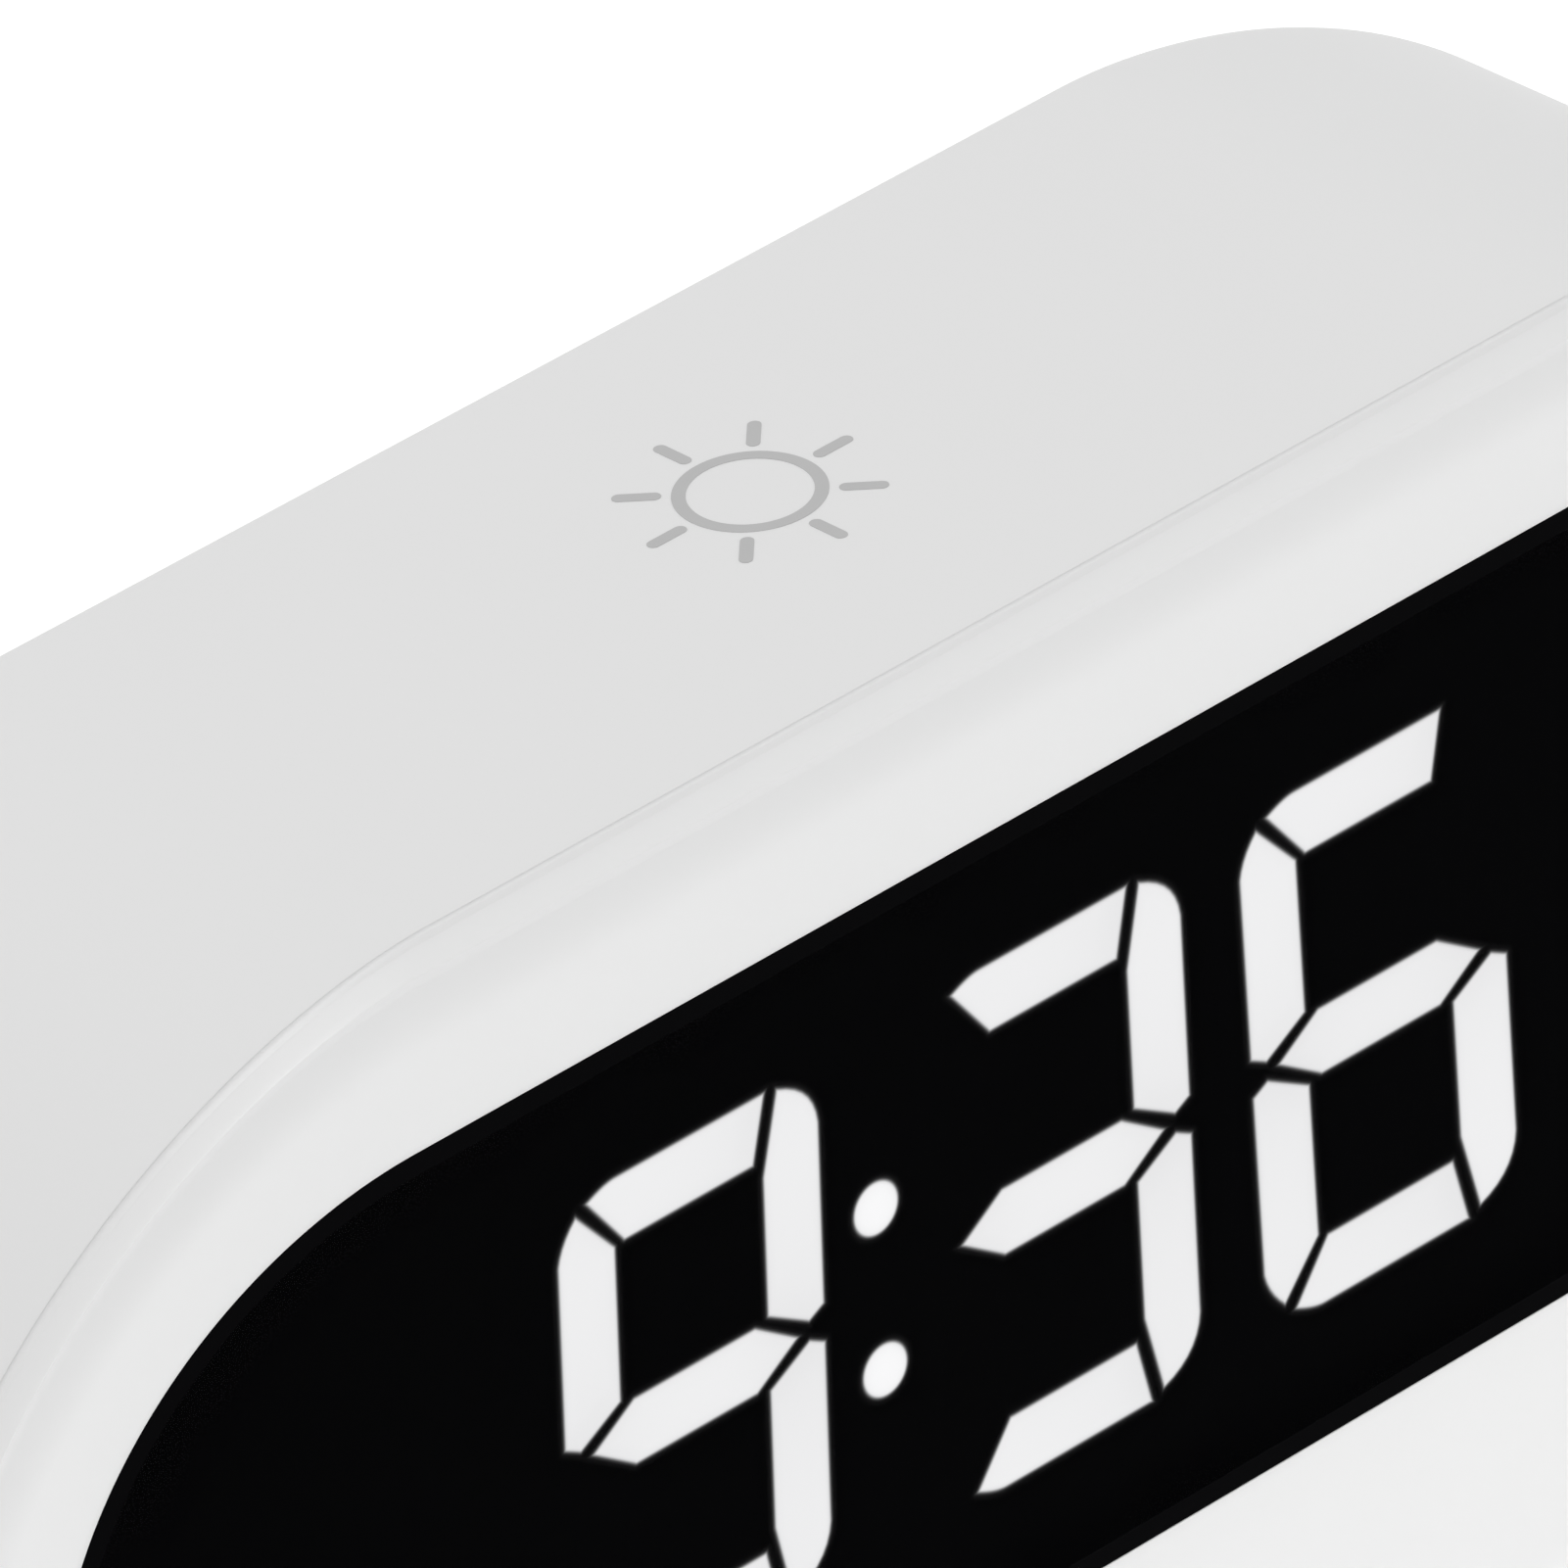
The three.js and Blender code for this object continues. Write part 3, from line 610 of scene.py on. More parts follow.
def plated(name, hex_colour, roughness, lines_mm, stretch):
    """A plated metal with fine drawn lines along one axis."""
    material, add = new_finish(name)
    place = add("ShaderNodeTexCoord").outputs["Object"]
    drawn = add("ShaderNodeMapping", {"Vector": place, "Scale": stretch})
    lines = noise(add, drawn.outputs["Vector"], lines_mm, 3.0)
    stain = noise(add, place, 2.5, 2.0)
    base = linear(hex_colour)
    look = {
        "Base Color": mixed(add, stain, rgba(base, 0.9), rgba(base, 1.05)),
        "Metallic": 1.0,
        "Roughness": uneven(add, lines, roughness, 0.08),
        "Normal": relief(add, lines, 0.003, 0.6),
    }
    end_in(add, look)
    return material


def circuit_board():
    # Glass-epoxy board under green solder mask: copper tracks 0.5 mm wide stand a hair above the board
    # and show as lighter lines.
    material, add = new_finish("solder_mask")
    place = add("ShaderNodeTexCoord").outputs["Object"]
    tracks = add(
        "ShaderNodeTexVoronoi",
        {"Vector": place, "Scale": 1 / (5 * MM)},
        distance="MANHATTAN",
        feature="DISTANCE_TO_EDGE",
    )
    edge = add(
        "ShaderNodeMapRange", {"Value": tracks.outputs["Distance"], "From Min": 0.04, "From Max": 0.07}
    )
    edge = edge.outputs["Result"]
    look = {
        "Base Color": mixed(add, edge, rgba(linear("#2f7a4e")), rgba(linear("#1c5a37"))),
        "Roughness": 0.35,
        "Normal": relief(add, edge, 0.03, 0.8, invert=True),
    }
    end_in(add, look)
    return material


def floor_finish(studio):
    # Opal acrylic light table: an even pale white, lit from below and most strongly in front of the clock.
    material, add = new_finish("opal_acrylic")
    place = add("ShaderNodeTexCoord").outputs["Object"]
    cloud = noise(add, place, 400, 2.0)
    # The lamp under the sheet is a long oval whose middle lies in front of the clock.
    oval = add("ShaderNodeMapping", {"Vector": place, "Location": (0, 0.09, 0), "Scale": (0.45, 1, 0)})
    away = add("ShaderNodeVectorMath", {0: oval.outputs["Vector"]}, operation="LENGTH")
    light = add(
        "ShaderNodeMapRange",
        {
            "Value": away.outputs["Value"],
            "From Min": 0.03,
            "From Max": 0.3,
            "To Min": studio.floor_glow + studio.front_glow,
            "To Max": studio.floor_glow,
        },
        interpolation_type="SMOOTHSTEP",
    )
    look = {
        "Base Color": rgba(studio.floor_colour),
        "Roughness": uneven(add, cloud, 0.8, 0.05),
        "Specular IOR Level": 0.1,
        "Emission Color": (1, 1, 1, 1),
        "Emission Strength": light.outputs["Result"],
    }
    end_in(add, look)
    return material


# ---------------------------------------------------------------- case

EDGE = 0.01  # mm, radius of the crisp moulded edges at the parting line
LIP_BACK = 0.9  # how deep the lip round the window is
REBATE, REBATE_BACK = 3.0, 3.7  # how far the window's rebate reaches outside the lip, and back
SPIGOT_BACK, SPIGOT_WALL, SLIT = 8.0, 1.6, 0.3
BEZEL_BACK = 3.4  # where the bezel meets the shell
KEY_X = {"mode": -24.0, "down": -8.0, "up": 8.0, "alarm": 24.0}
KEY_Z, KEY_RADIUS, KEY_GAP = 16.0, 3.5, 0.3
DOOR_X, DOOR_Z, DOOR_RADIUS = 34.0, -8.0, 12.7
LUG_RADIUS, LUG_HALF_ANGLE, OPEN_ANGLE = 14.6, 18.0, 45.0
SOCKET_X, SOCKET_Z, SOCKET_WIDTH, SOCKET_HEIGHT = -32.0, -18.0, 9.4, 3.6
SOUND_X, SOUND_Z, SOUND_RING, SOUND_RADIUS = 2.0, -12.0, 4.0, 1.0
SCREW_X, SCREW_Z, SCREW_HEAD_Y, SCREW_WELL_RADIUS = 76.0, 24.5, 20.0, 3.3
SCREW_PLACES = [(sx * SCREW_X, sz * SCREW_Z) for sx in (-1, 1) for sz in (-1, 1)]
CELL_WELL_RADIUS, CELL_WELL_WALL, CELL_WELL_DEPTH = 15.3, 1.5, 7.8
FOOT_X, FOOT_YS, FOOT_RADIUS, FOOT_PROUD = 40.0, (13.0, 37.0), 5.0, 1.0
TOUCH_Y = 25.6


def back_holes(edge):
    """Cutters for every hole in the back."""

    def round_hole(x, z, radius, depth=8.0):
        return hole(lambda grow: circle(radius + grow, 48, x, z), BACK, depth, edge)

    cutters = [round_hole(x, KEY_Z, KEY_RADIUS + KEY_GAP) for x in KEY_X.values()]
    well_depth = BACK - SCREW_HEAD_Y + 0.4
    cutters += [round_hole(x, z, SCREW_WELL_RADIUS, well_depth) for x, z in SCREW_PLACES]
    cutters.append(round_hole(SOUND_X, SOUND_Z, SOUND_RADIUS))
    for x, z in circle(SOUND_RING, 6, SOUND_X, SOUND_Z):
        cutters.append(round_hole(x, z, SOUND_RADIUS))
    through = 6.0  # mm, deeper than the back wall is thick
    cutters.append(round_hole(DOOR_X, DOOR_Z, DOOR_RADIUS + 0.2, through))
    for side in (0, 180):

        def notch(grow, middle=side - OPEN_ANGLE):
            pie = wedge(LUG_RADIUS + SLIT + grow, LUG_HALF_ANGLE + 3, middle)
            return [(x + DOOR_X, z + DOOR_Z) for x, z in pie]

        cutters.append(hole(notch, BACK, through, edge * 0.6))

    def mouth(grow):
        wider = 2 * (0.15 + grow)
        return oblong(SOCKET_WIDTH + wider, SOCKET_HEIGHT + wider, SOCKET_X, SOCKET_Z)

    cutters.append(hole(mouth, BACK, through, edge))
    return cutters


class CLOCK_OT_rear_shell(bpy.types.Operator):
    """Build the deep white shell with its holes and wells"""

    bl_idname = "clock.rear_shell"
    bl_label = "Rear Shell"

    def execute(self, context):
        case = context.scene.clock_case
        body = case_outline(case)
        wall, radius = case.wall / MM, case.back_edge / MM
        front = BEZEL_BACK + case.parting / MM
        stations = [(BACK - wall, -wall), (front, -wall)]
        stations += [(front + along, -across) for along, across in quarter_round(EDGE)]
        stations += [(BACK - along, -across) for along, across in quarter_round(radius, 8)[::-1]]
        loops = [level(trace(body, grow), y) for y, grow in stations]
        shell = skin("rear_shell_moulding", loops, shell_abs(context.scene.clock_colours))

        def bar(radius, front_y, back_y, x, z, steps=48):
            """A plain round bar that runs from front to back."""
            ends = [(radius, front_y), (radius, back_y)]
            return turned("bar", ends, spot(x, 0, z), (0, 1, 0), steps=steps)

        # Each screw has a tube of its own, and the cell sits in a round well behind its door.
        inside = BACK - wall
        tube_radius, tube_front, shank_radius, shank_front = 4.3, 16.4, 1.8, 10
        tubes = [bar(tube_radius, tube_front, BACK - 1, x, z) for x, z in SCREW_PLACES]
        outer = CELL_WELL_RADIUS + CELL_WELL_WALL
        well = bar(outer, inside - CELL_WELL_DEPTH, inside + 1, DOOR_X, DOOR_Z)
        combine(shell, [*tubes, well], "UNION")
        mouth = bar(CELL_WELL_RADIUS, inside - CELL_WELL_DEPTH - 1.2, inside, DOOR_X, DOOR_Z)
        shanks = [bar(shank_radius, shank_front, BACK, x, z, 24) for x, z in SCREW_PLACES]
        pockets = [
            turned(
                "pocket",
                [(FOOT_RADIUS + 0.2, -1.0), (FOOT_RADIUS + 0.2, 0.0), (FOOT_RADIUS, 0.8)],
                spot(sx * FOOT_X, y, -body.height / 2 - body.chin),
                (0, 0, 1),
            )
            for sx in (-1, 1)
            for y in FOOT_YS
        ]
        combine(shell, [mouth, *shanks, *pockets, *back_holes(case.hole_edge / MM)])
        smooth(shell)
        settle(shell, "case", "shell_abs", "rear_shell")
        return {"FINISHED"}


class CLOCK_OT_front_bezel(bpy.types.Operator):
    """Build the domed bezel round the window, with its bevelled outer band"""

    bl_idname = "clock.front_bezel"
    bl_label = "Front Bezel"

    def execute(self, context):
        case = context.scene.clock_case
        body, edge, window = (trace(f(case)) for f in (case_outline, front_edge_outline, window_outline))
        window_shape, body_shape = window_outline(case), case_outline(case)
        # The window's outline with the chin added, so that the rim is shaped alike all round.
        flat_rim = trace(window_shape._replace(chin=case.chin / MM))

        def on_face(share):
            return between(flat_rim, edge, share)

        lip = 0.04  # mm, radius of the lip round the window
        loops = [level(window, LIP_BACK)]
        for along, across in quarter_round(lip)[::-1]:
            loops.append(level(trace(window_shape, across), along))
        # The face is flat and then rolls away to the front edge, over the same distance all round.
        flat_until, roll_until, roll_depth = 0.62, 0.95, 0.74
        steps = 16
        for i in range(steps + 1):
            share = i / steps
            out = flat_until + (roll_until - flat_until) * share
            loops.append(level(on_face(out), roll_depth * share**2.1))
        # A narrow land leads to the front edge, and the bevelled band runs back from there.
        for share, y in ((0.958, 0.765), (0.985, 0.84), (0.995, 0.868)):
            loops.append(level(on_face(share), y))
        for share, y in ((0.0, 0.89), (0.03, 0.93), (0.08, 1.02), (0.16, 1.2), (0.26, 1.44), (0.7, 2.62)):
            loops.append(level(between(edge, body, share), y))
        # The band ends in a fine, steeper chamfer up to full size, just before the parting line.
        for share, y in ((0.74, 2.66), (0.95, 2.95), (0.99, 3.03), (1.0, 3.1), (1.0, BEZEL_BACK - EDGE)):
            loops.append(level(between(edge, body, share), y))
        for along, across in quarter_round(EDGE, 4)[::-1][1:]:
            loops.append(level(trace(body_shape, -across), BEZEL_BACK - along))
        wall = case.wall / MM
        spigot_out, spigot_in = -wall - SLIT, -wall - SLIT - SPIGOT_WALL
        for y, grow in (
            (BEZEL_BACK, spigot_out),
            (SPIGOT_BACK, spigot_out),
            (SPIGOT_BACK, spigot_in),
            (REBATE_BACK, spigot_in),
        ):
            loops.append(level(trace(body_shape, grow), y))
        for y in (REBATE_BACK, LIP_BACK):
            loops.append(level(trace(window_shape, REBATE), y))
        bezel = skin("front_bezel_moulding", loops, bezel_abs(context.scene.clock_colours), closed=True)
        smooth(bezel, 38)
        settle(bezel, "case", "bezel_abs", "front_bezel")
        return {"FINISHED"}


# ---------------------------------------------------------------- display

# Each figure's film is cut and laid by itself: where its centre lies, how wide and high it is next to the
# nominal figure, and how far its top leans.
Figure = namedtuple("Figure", "x z width height lean")
FIGURES = {
    "leading": Figure(-58.5, -1.2, 0.98, 0.97, 0.066),
    "hours": Figure(-30.9, -1.19, 0.987, 0.97, 0.066),
    "tens": Figure(0.32, -1.38, 1.0, 0.987, 0.035),
    "units": Figure(27.82, -1.47, 1.014, 0.99, 0.018),
}
COLON_X, COLON_Z, COLON_RADIUS, COLON_HALF_PITCH, COLON_LEAN = -15.3, -1.15, 1.87, 5.8, 0.035
FILM_Y, MASK_Y, MASK_BACK = 2.26, 2.3, 2.9
BARS_OF = {
    0: "abcdef",
    1: "bc",
    2: "abdeg",
    3: "abcdg",
    4: "bcfg",
    5: "acdfg",
    6: "acdefg",
    7: "abc",
    8: "abcdefg",
    9: "abcdfg",
}
# Across a bar's edge: how far in from the edge, how bright, and how far behind the film's face it lies.
# A bar's spread slopes back into the mask, so that it never covers the next bar.
BAR_EDGE = (
    (-0.6, 0.0, 0.037),
    (-0.25, 0.006, 0.024),
    (-0.1, 0.05, 0.012),
    (0.02, 0.34, 0.006),
    (0.12, 0.84, 0.0),
    (0.28, 0.98, 0.0),
)


def bend(start, corner, end, steps=7):
    """A rounded stretch from one point to another round a corner."""
    points = []
    for i in range(steps + 1):
        t = i / steps
        a, b, c = (1 - t) ** 2, 2 * t * (1 - t), t * t
        points.append(tuple(a * p + b * q + c * r for p, q, r in zip(start, corner, end)))
    return points


def figure_bars(display):
    """The seven bars of a figure, anticlockwise, upright about the figure's centre."""
    w, h, s = display.width / MM / 2, display.height / MM / 2, display.stroke / MM
    inner = w - s
    top = [
        (-inner + 0.8, h - s),
        (inner - 0.8, h - s),
        (inner + 0.3, h),
        *bend((-inner + 0.2, h), (-w + 4, h), (-w + 2.5, h - 0.75)),
    ]
    right = [
        (inner, h - 6),
        (inner, 2.7),
        (w - 1.3, 0.7),
        (w, 1.4),
        *bend((w, h - 4.2), (w - 0.3, h - 1.3), (inner + 1.35, h - 0.25)),
    ]
    left = [
        (-inner, h - 4.9),
        *bend((-w + 1.6, h - 1.3), (-w + 0.3, h - 2.6), (-w, h - 4.2), 5),
        (-w, 1.4),
        (-w + 1.3, 0.7),
        (-inner, 2.7),
    ]
    middle = [
        (-w + 2.3, 0),
        (-inner + 1.1, -s / 2),
        (inner - 1.1, -s / 2),
        (w - 2.3, 0),
        (inner - 1.1, s / 2),
        (-inner + 1.1, s / 2),
    ]

    def mirrored(points):
        return [(x, -z) for x, z in points][::-1]

    return {
        "a": top,
        "b": right,
        "c": mirrored(right),
        "d": [(x, 1.013 * z) for x, z in mirrored(top)],
        "e": mirrored(left),
        "f": left,
        "g": middle,
    }


def light_patches(name, bars, finish):
    """One film piece for a figure. Each bar is (outline, brightness), brightest at its middle."""
    points, faces, glow = [], [], []
    for outline, brightness in bars:
        middle = Vector([sum(axis) / len(outline) for axis in zip(*outline)])
        longest = max((Vector(p) - middle).length for p in outline)
        rings = [(offset(outline, inset), bright, depth) for inset, bright, depth in BAR_EDGE]
        core = rings[-1][0]
        for share in (0.8, 0.55, 0.3):
            rings.append(([tuple(middle.lerp(Vector(p), share)) for p in core], 1.0, 0.0))
        skirt = 0.3  # mm, how far the patch's border reaches back into the mask
        rings.insert(0, (rings[0][0], 0.0, skirt))
        start, count = len(points), len(outline)
        for ring, bright, depth in rings:
            for x, z in ring:
                fade = 1 - 0.05 * min(1.0, (Vector((x, z)) - middle).length / longest) ** 2
                points.append(spot(x, FILM_Y + depth, z))
                glow.append(brightness * bright * fade)
        for row in range(len(rings) - 1):
            here, there = start + row * count, start + (row + 1) * count
            for i in range(count):
                j = (i + 1) % count
                faces.append((here + i, here + j, there + j, there + i))
        faces.append(tuple(range(start, start + count)))
        faces.append(tuple(range(start + (len(rings) - 1) * count, start + len(rings) * count)))
    patch = piece_from(name, points, faces, finish)
    patch.data.attributes.new("glow", "FLOAT", "POINT").data.foreach_set("value", glow)
    return patch


class CLOCK_OT_window(bpy.types.Operator):
    """Build the tinted window and the black mask behind it"""

    bl_idname = "clock.window"
    bl_label = "Window and Mask"

    def execute(self, context):
        case, colours = context.scene.clock_case, context.scene.clock_colours
        shape = window_outline(case)
        gap, radius, front, border = 0.03, 0.04, 0.01, 1.5
        stations = [(front, -border - 0.1), (front, -border)]
        stations += [(front + along, -gap - across) for along, across in quarter_round(radius)]
        flange_y, back_y, flange = 1.4, 2.0, REBATE - SLIT
        stations += [(flange_y, -gap), (flange_y, flange), (back_y, flange)]
        loops = [level(trace(shape, grow), y) for y, grow in stations]
        pane = skin("tinted_pane", loops, tinted_acrylic(colours))
        # Only the face inside the border, and the back of the pane, let light through.
        count = len(loops[0])
        rim = [0.0] * count + [1.0] * count * (len(loops) - 2) + [0.0] * count
        pane.data.attributes.new("rim", "FLOAT", "POINT").data.foreach_set("value", rim)
        smooth(pane)
        settle(pane, "case", "tinted_window", "display_window")

        mask_stations = [(MASK_Y, flange - 0.1), (MASK_Y + 0.1, flange), (MASK_BACK, flange)]
        mask = skin(
            "figure_mask",
            [level(trace(shape, grow), y) for y, grow in mask_stations],
            black_abs("mask_abs", "#020202", 0.8, **{"Specular IOR Level": 0.0}),
        )
        smooth(mask)
        settle(mask, "case", "black_plastic", "segment_reflector")
        return {"FINISHED"}


class CLOCK_OT_figures(bpy.types.Operator):
    """Build the light-bar figures and the colon"""

    bl_idname = "clock.figures"
    bl_label = "Figures"

    def execute(self, context):
        display = context.scene.clock_display
        film = diffuser_film("light_bar_film", context.scene.clock_colours, display.glow)
        bars = figure_bars(display)
        shown = {
            "leading": "",
            "hours": BARS_OF[display.hour],
            "tens": BARS_OF[display.minute // 10],
            "units": BARS_OF[display.minute % 10],
        }
        for figure, lit in shown.items():
            made, film_cut = [], FIGURES[figure]
            for i, name in enumerate(bars if figure != "leading" else ("b", "c")):
                placed = []
                for x, z in bars[name]:
                    up = film_cut.height * z
                    placed.append((film_cut.x + film_cut.width * x + film_cut.lean * up, film_cut.z + up))
                # The chips behind the bars differ in brightness by a hundredth or so.
                unevenness = 0.01 * math.sin(2.4 * i + film_cut.x)
                made.append((placed, (0.97 + unevenness) if name in lit else 0.0))
            patch = light_patches(f"light_bars_{figure}", made, film)
            settle(patch, "case", "milky_resin", f"light_insert_{figure}")

        dots = []
        for side in (-1, 1):
            z = COLON_Z + side * COLON_HALF_PITCH
            dot = circle(COLON_RADIUS, 40, COLON_X + side * COLON_HALF_PITCH * COLON_LEAN, z)
            dots.append((dot, 1.0))
        dot_glow = display.glow * display.dot_glow
        brighter = diffuser_film("light_dot_film", context.scene.clock_colours, dot_glow)
        colon = light_patches("light_dots_colon", dots, brighter)
        settle(colon, "case", "milky_resin", "light_insert_colon")
        return {"FINISHED"}


class CLOCK_OT_touch_mark(bpy.types.Operator):
    """Print the sun over the touch key on the top"""

    bl_idname = "clock.touch_mark"
    bl_label = "Touch Mark"

    def execute(self, context):
        top = case_outline(context.scene.clock_case).height / 2
        ring = (circle(4.9, 96), circle(4.0, 96))
        rays = []
        for i in range(8):
            turn = Matrix.Rotation(math.radians(45 * i), 2)
            rays.append([tuple(turn @ Vector(point)) for point in oblong(3.1, 0.9, x=7.05)])
        mark = printed(
            "sun_mark",
            lambda u, v, n: spot(u, TOUCH_Y + v, top + n),
            [ring, *rays],
            pad_ink(context.scene.clock_colours),
        )
        settle(mark, "case", "shell_abs")
        return {"FINISHED"}


# ---------------------------------------------------------------- back


def legend(name):
    """The printed shape over a key: a clock face, a chevron or a bell."""
    if name == "mode":
        hand_up = rectangle(0.5, 1.75, 0, 0.625)
        hand_right = rectangle(1.45, 0.5, 0.475, -0.01)
        return [(circle(2.4, 48), circle(1.95, 48)), hand_up, hand_right]
    if name in ("up", "down"):
        way = 1 if name == "up" else -1
        arms = [(-1.9, -0.9), (-1.55, -1.25), (0, 0.35), (1.55, -1.25), (1.9, -0.9), (0, 1.05)]
        return [[(u, way * v) for u, v in arms]]
    dome = arc(1.35, 0, 180, 16, z=0.55)
    bell = [(2.1, -1.15), (1.45, -0.5), *dome, (-1.45, -0.5), (-2.1, -1.15)]
    clapper = arc(0.65, 180, 360, 10, z=-1.45)
    return [bell, clapper]


class CLOCK_OT_keys(bpy.types.Operator):
    """Build the four sprung keys and the printed shapes over them"""

    bl_idname = "clock.keys"
    bl_label = "Keys"

    def execute(self, context):
        colours = context.scene.clock_colours
        cap_finish, ink = key_abs(colours), pad_ink(colours)
        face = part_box("key_mode")[1].y / MM - FACE_Y
        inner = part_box("key_mode")[0].y / MM - FACE_Y
        rim = [(KEY_RADIUS - across, face - along) for along, across in quarter_round(0.45)[::-1]]
        dish_radius, dish_depth, flange, step = 2.55, 0.32, 4.8, inner + 1.8
        turns = [math.pi / 2 * i / 10 for i in range(10)]
        dish = [(dish_radius * math.cos(t), face - dish_depth * math.sin(t) ** 1.5) for t in turns]
        profile = [(0.4, inner), (flange, inner), (flange, step), (KEY_RADIUS, step), *rim, *dish]
        for name, x in KEY_X.items():
            cap = turned(f"key_cap_{name}", profile, spot(x, 0, KEY_Z), (0, 1, 0), cap_finish, 64)
            smooth(cap, 40)
            settle(cap, f"key_{name}_set", "key_abs", f"key_{name}")
            mark = printed(f"key_legend_{name}", on_back(x, KEY_Z + 7.6), legend(name), ink)
            settle(mark, "case", "shell_abs")
        return {"FINISHED"}


class CLOCK_OT_battery_door(bpy.types.Operator):
    """Build the bayonet battery door and the marks that show which way it turns"""

    bl_idname = "clock.battery_door"
    bl_label = "Battery Door"

    def execute(self, context):
        colours = context.scene.clock_colours
        low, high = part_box("battery_door")
        inner, face = low.y / MM - FACE_Y, high.y / MM - FACE_Y
        rim = [(DOOR_RADIUS - across, face - along) for along, across in quarter_round(0.35)[::-1]]
        # A shallow ring groove sets the flat rim off from the middle.
        groove = [(11.1, face), (10.95, face - 0.12), (10.65, face - 0.12), (10.5, face)]
        profile = [(DOOR_RADIUS, inner), *rim, *groove, (0.5, face)]
        centre = spot(DOOR_X, 0, DOOR_Z)
        door = turned("battery_door_moulding", profile, centre, (0, 1, 0), shell_abs(colours), 96)
        lugs = []
        for middle in (0, 180):
            pie = [(x + DOOR_X, z + DOOR_Z) for x, z in wedge(LUG_RADIUS, LUG_HALF_ANGLE, middle)]
            lugs.append(skin("lug", [level(pie, inner), level(pie, inner + 1.4)]))
        combine(door, lugs, "UNION")

        def coin_slot(grow):
            return oblong(14 + 2 * grow, 2 + 2 * grow, DOOR_X, DOOR_Z)

        slot_depth, slot_edge = 1.4, 0.25
        combine(door, [hole(coin_slot, face, slot_depth, slot_edge)])
        smooth(door)
        settle(door, "battery_door", "shell_abs", "battery_door")

        # Printed on the door: a small arrowhead. Printed on the case: a dot for shut and a ring for open.
        arrow = [(11.2, -0.9), (12.3, 0.0), (11.2, 0.9)]
        pointer = printed(
            "battery_door_pointer",
            lambda u, v, n: spot(DOOR_X + v, face + n, DOOR_Z + u),
            [[(u - 2.6, v) for u, v in arrow]],
            pad_ink(colours),
        )
        settle(pointer, "battery_door", "shell_abs")
        turn, away = math.radians(OPEN_ANGLE), 17.2
        x, z = -away * math.sin(turn), away * math.cos(turn)
        marks = printed(
            "battery_door_marks",
            on_back(DOOR_X, DOOR_Z),
            [circle(0.7, 32, 0, away), (circle(0.95, 32, x, z), circle(0.55, 32, x, z))],
            pad_ink(colours),
        )
        settle(marks, "case", "shell_abs")
        return {"FINISHED"}


class CLOCK_OT_power_socket(bpy.types.Operator):
    """Build the power socket's metal shell and its tongue with contacts"""

    bl_idname = "clock.power_socket"
    bl_label = "Power Socket"

    def execute(self, context):
        low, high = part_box("usb_socket")
        back, front = low.y / MM - FACE_Y, high.y / MM - FACE_Y
        # Stainless steel strip, drawn and rolled round: bright, with fine lines along the draw.
        steel = plated("rolled_stainless", "#b9b8b4", 0.28, 0.15, (1, 0.1, 1))
        stations = [(back, 0.0), (front - 0.1, 0.0), (front - 0.03, -0.03), (front, -0.1), (front, -0.3)]
        stations += [(front - 0.03, -0.37), (front - 0.1, -0.4), (back + 1.6, -0.4)]
        loops = [
            level(oblong(SOCKET_WIDTH + 2 * grow, SOCKET_HEIGHT + 2 * grow, SOCKET_X, SOCKET_Z), y)
            for y, grow in stations
        ]
        can = skin("socket_can", loops, steel)
        smooth(can)
        settle(can, "case", "nickel_plate", "usb_socket")

        low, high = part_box("usb_tongue")
        back, front = low.y / MM - FACE_Y, high.y / MM - FACE_Y
        bar = [
            level(oblong(6.6 + 2 * grow, 0.8 + 2 * grow, SOCKET_X, SOCKET_Z, 4), y)
            for y, grow in ((back, 0.0), (front - 0.3, 0.0), (front, -0.12))
        ]
        tongue = skin("socket_tongue", bar, black_abs("socket_nylon", "#17171a", 0.5))
        smooth(tongue)
        settle(tongue, "case", "black_plastic", "usb_tongue")
        # Copper alloy contacts, stamped and gold flashed.
        gold = plated("gold_flash", "#d9b265", 0.22, 0.1, (1, 0.1, 1))
        width, long, pitch = 0.3, 3.6, 0.75
        strips = [rectangle(width, long, i * pitch, long / 2) for i in range(-3, 4)]
        for side in (-1, 1):
            pads = printed(
                f"socket_contacts_{'upper' if side > 0 else 'lower'}",
                lambda u, v, n, s=side: spot(SOCKET_X + u, front - 0.7 - v, SOCKET_Z + s * (0.4 + n)),
                strips,
                gold,
                proud=0.02,
            )
            settle(pads, "case", "nickel_plate")
        return {"FINISHED"}


class CLOCK_OT_feet(bpy.types.Operator):
    """Build the four rubber feet"""

    bl_idname = "clock.feet"
    bl_label = "Feet"

    def execute(self, context):
        rubber = foot_rubber(context.scene.clock_colours)
        body = case_outline(context.scene.clock_case)
        floor_z = -body.height / 2 - body.chin - FOOT_PROUD
        edge = [(FOOT_RADIUS - across, along) for along, across in quarter_round(0.45)]
        profile = [(0.3, 0.25), (2.6, 0.25), (2.9, 0.0), (4.2, 0.0), *edge, (FOOT_RADIUS, 1.5)]
        for row, y in zip(("front", "back"), FOOT_YS):
            for side, x in (("left", -FOOT_X), ("right", FOOT_X)):
                foot = turned(f"rubber_foot_{row}_{side}", profile, spot(x, y, floor_z), (0, 0, 1), rubber)
                smooth(foot)
                settle(foot, "case", "foot_rubber", f"foot_{row}_{side}")
        return {"FINISHED"}


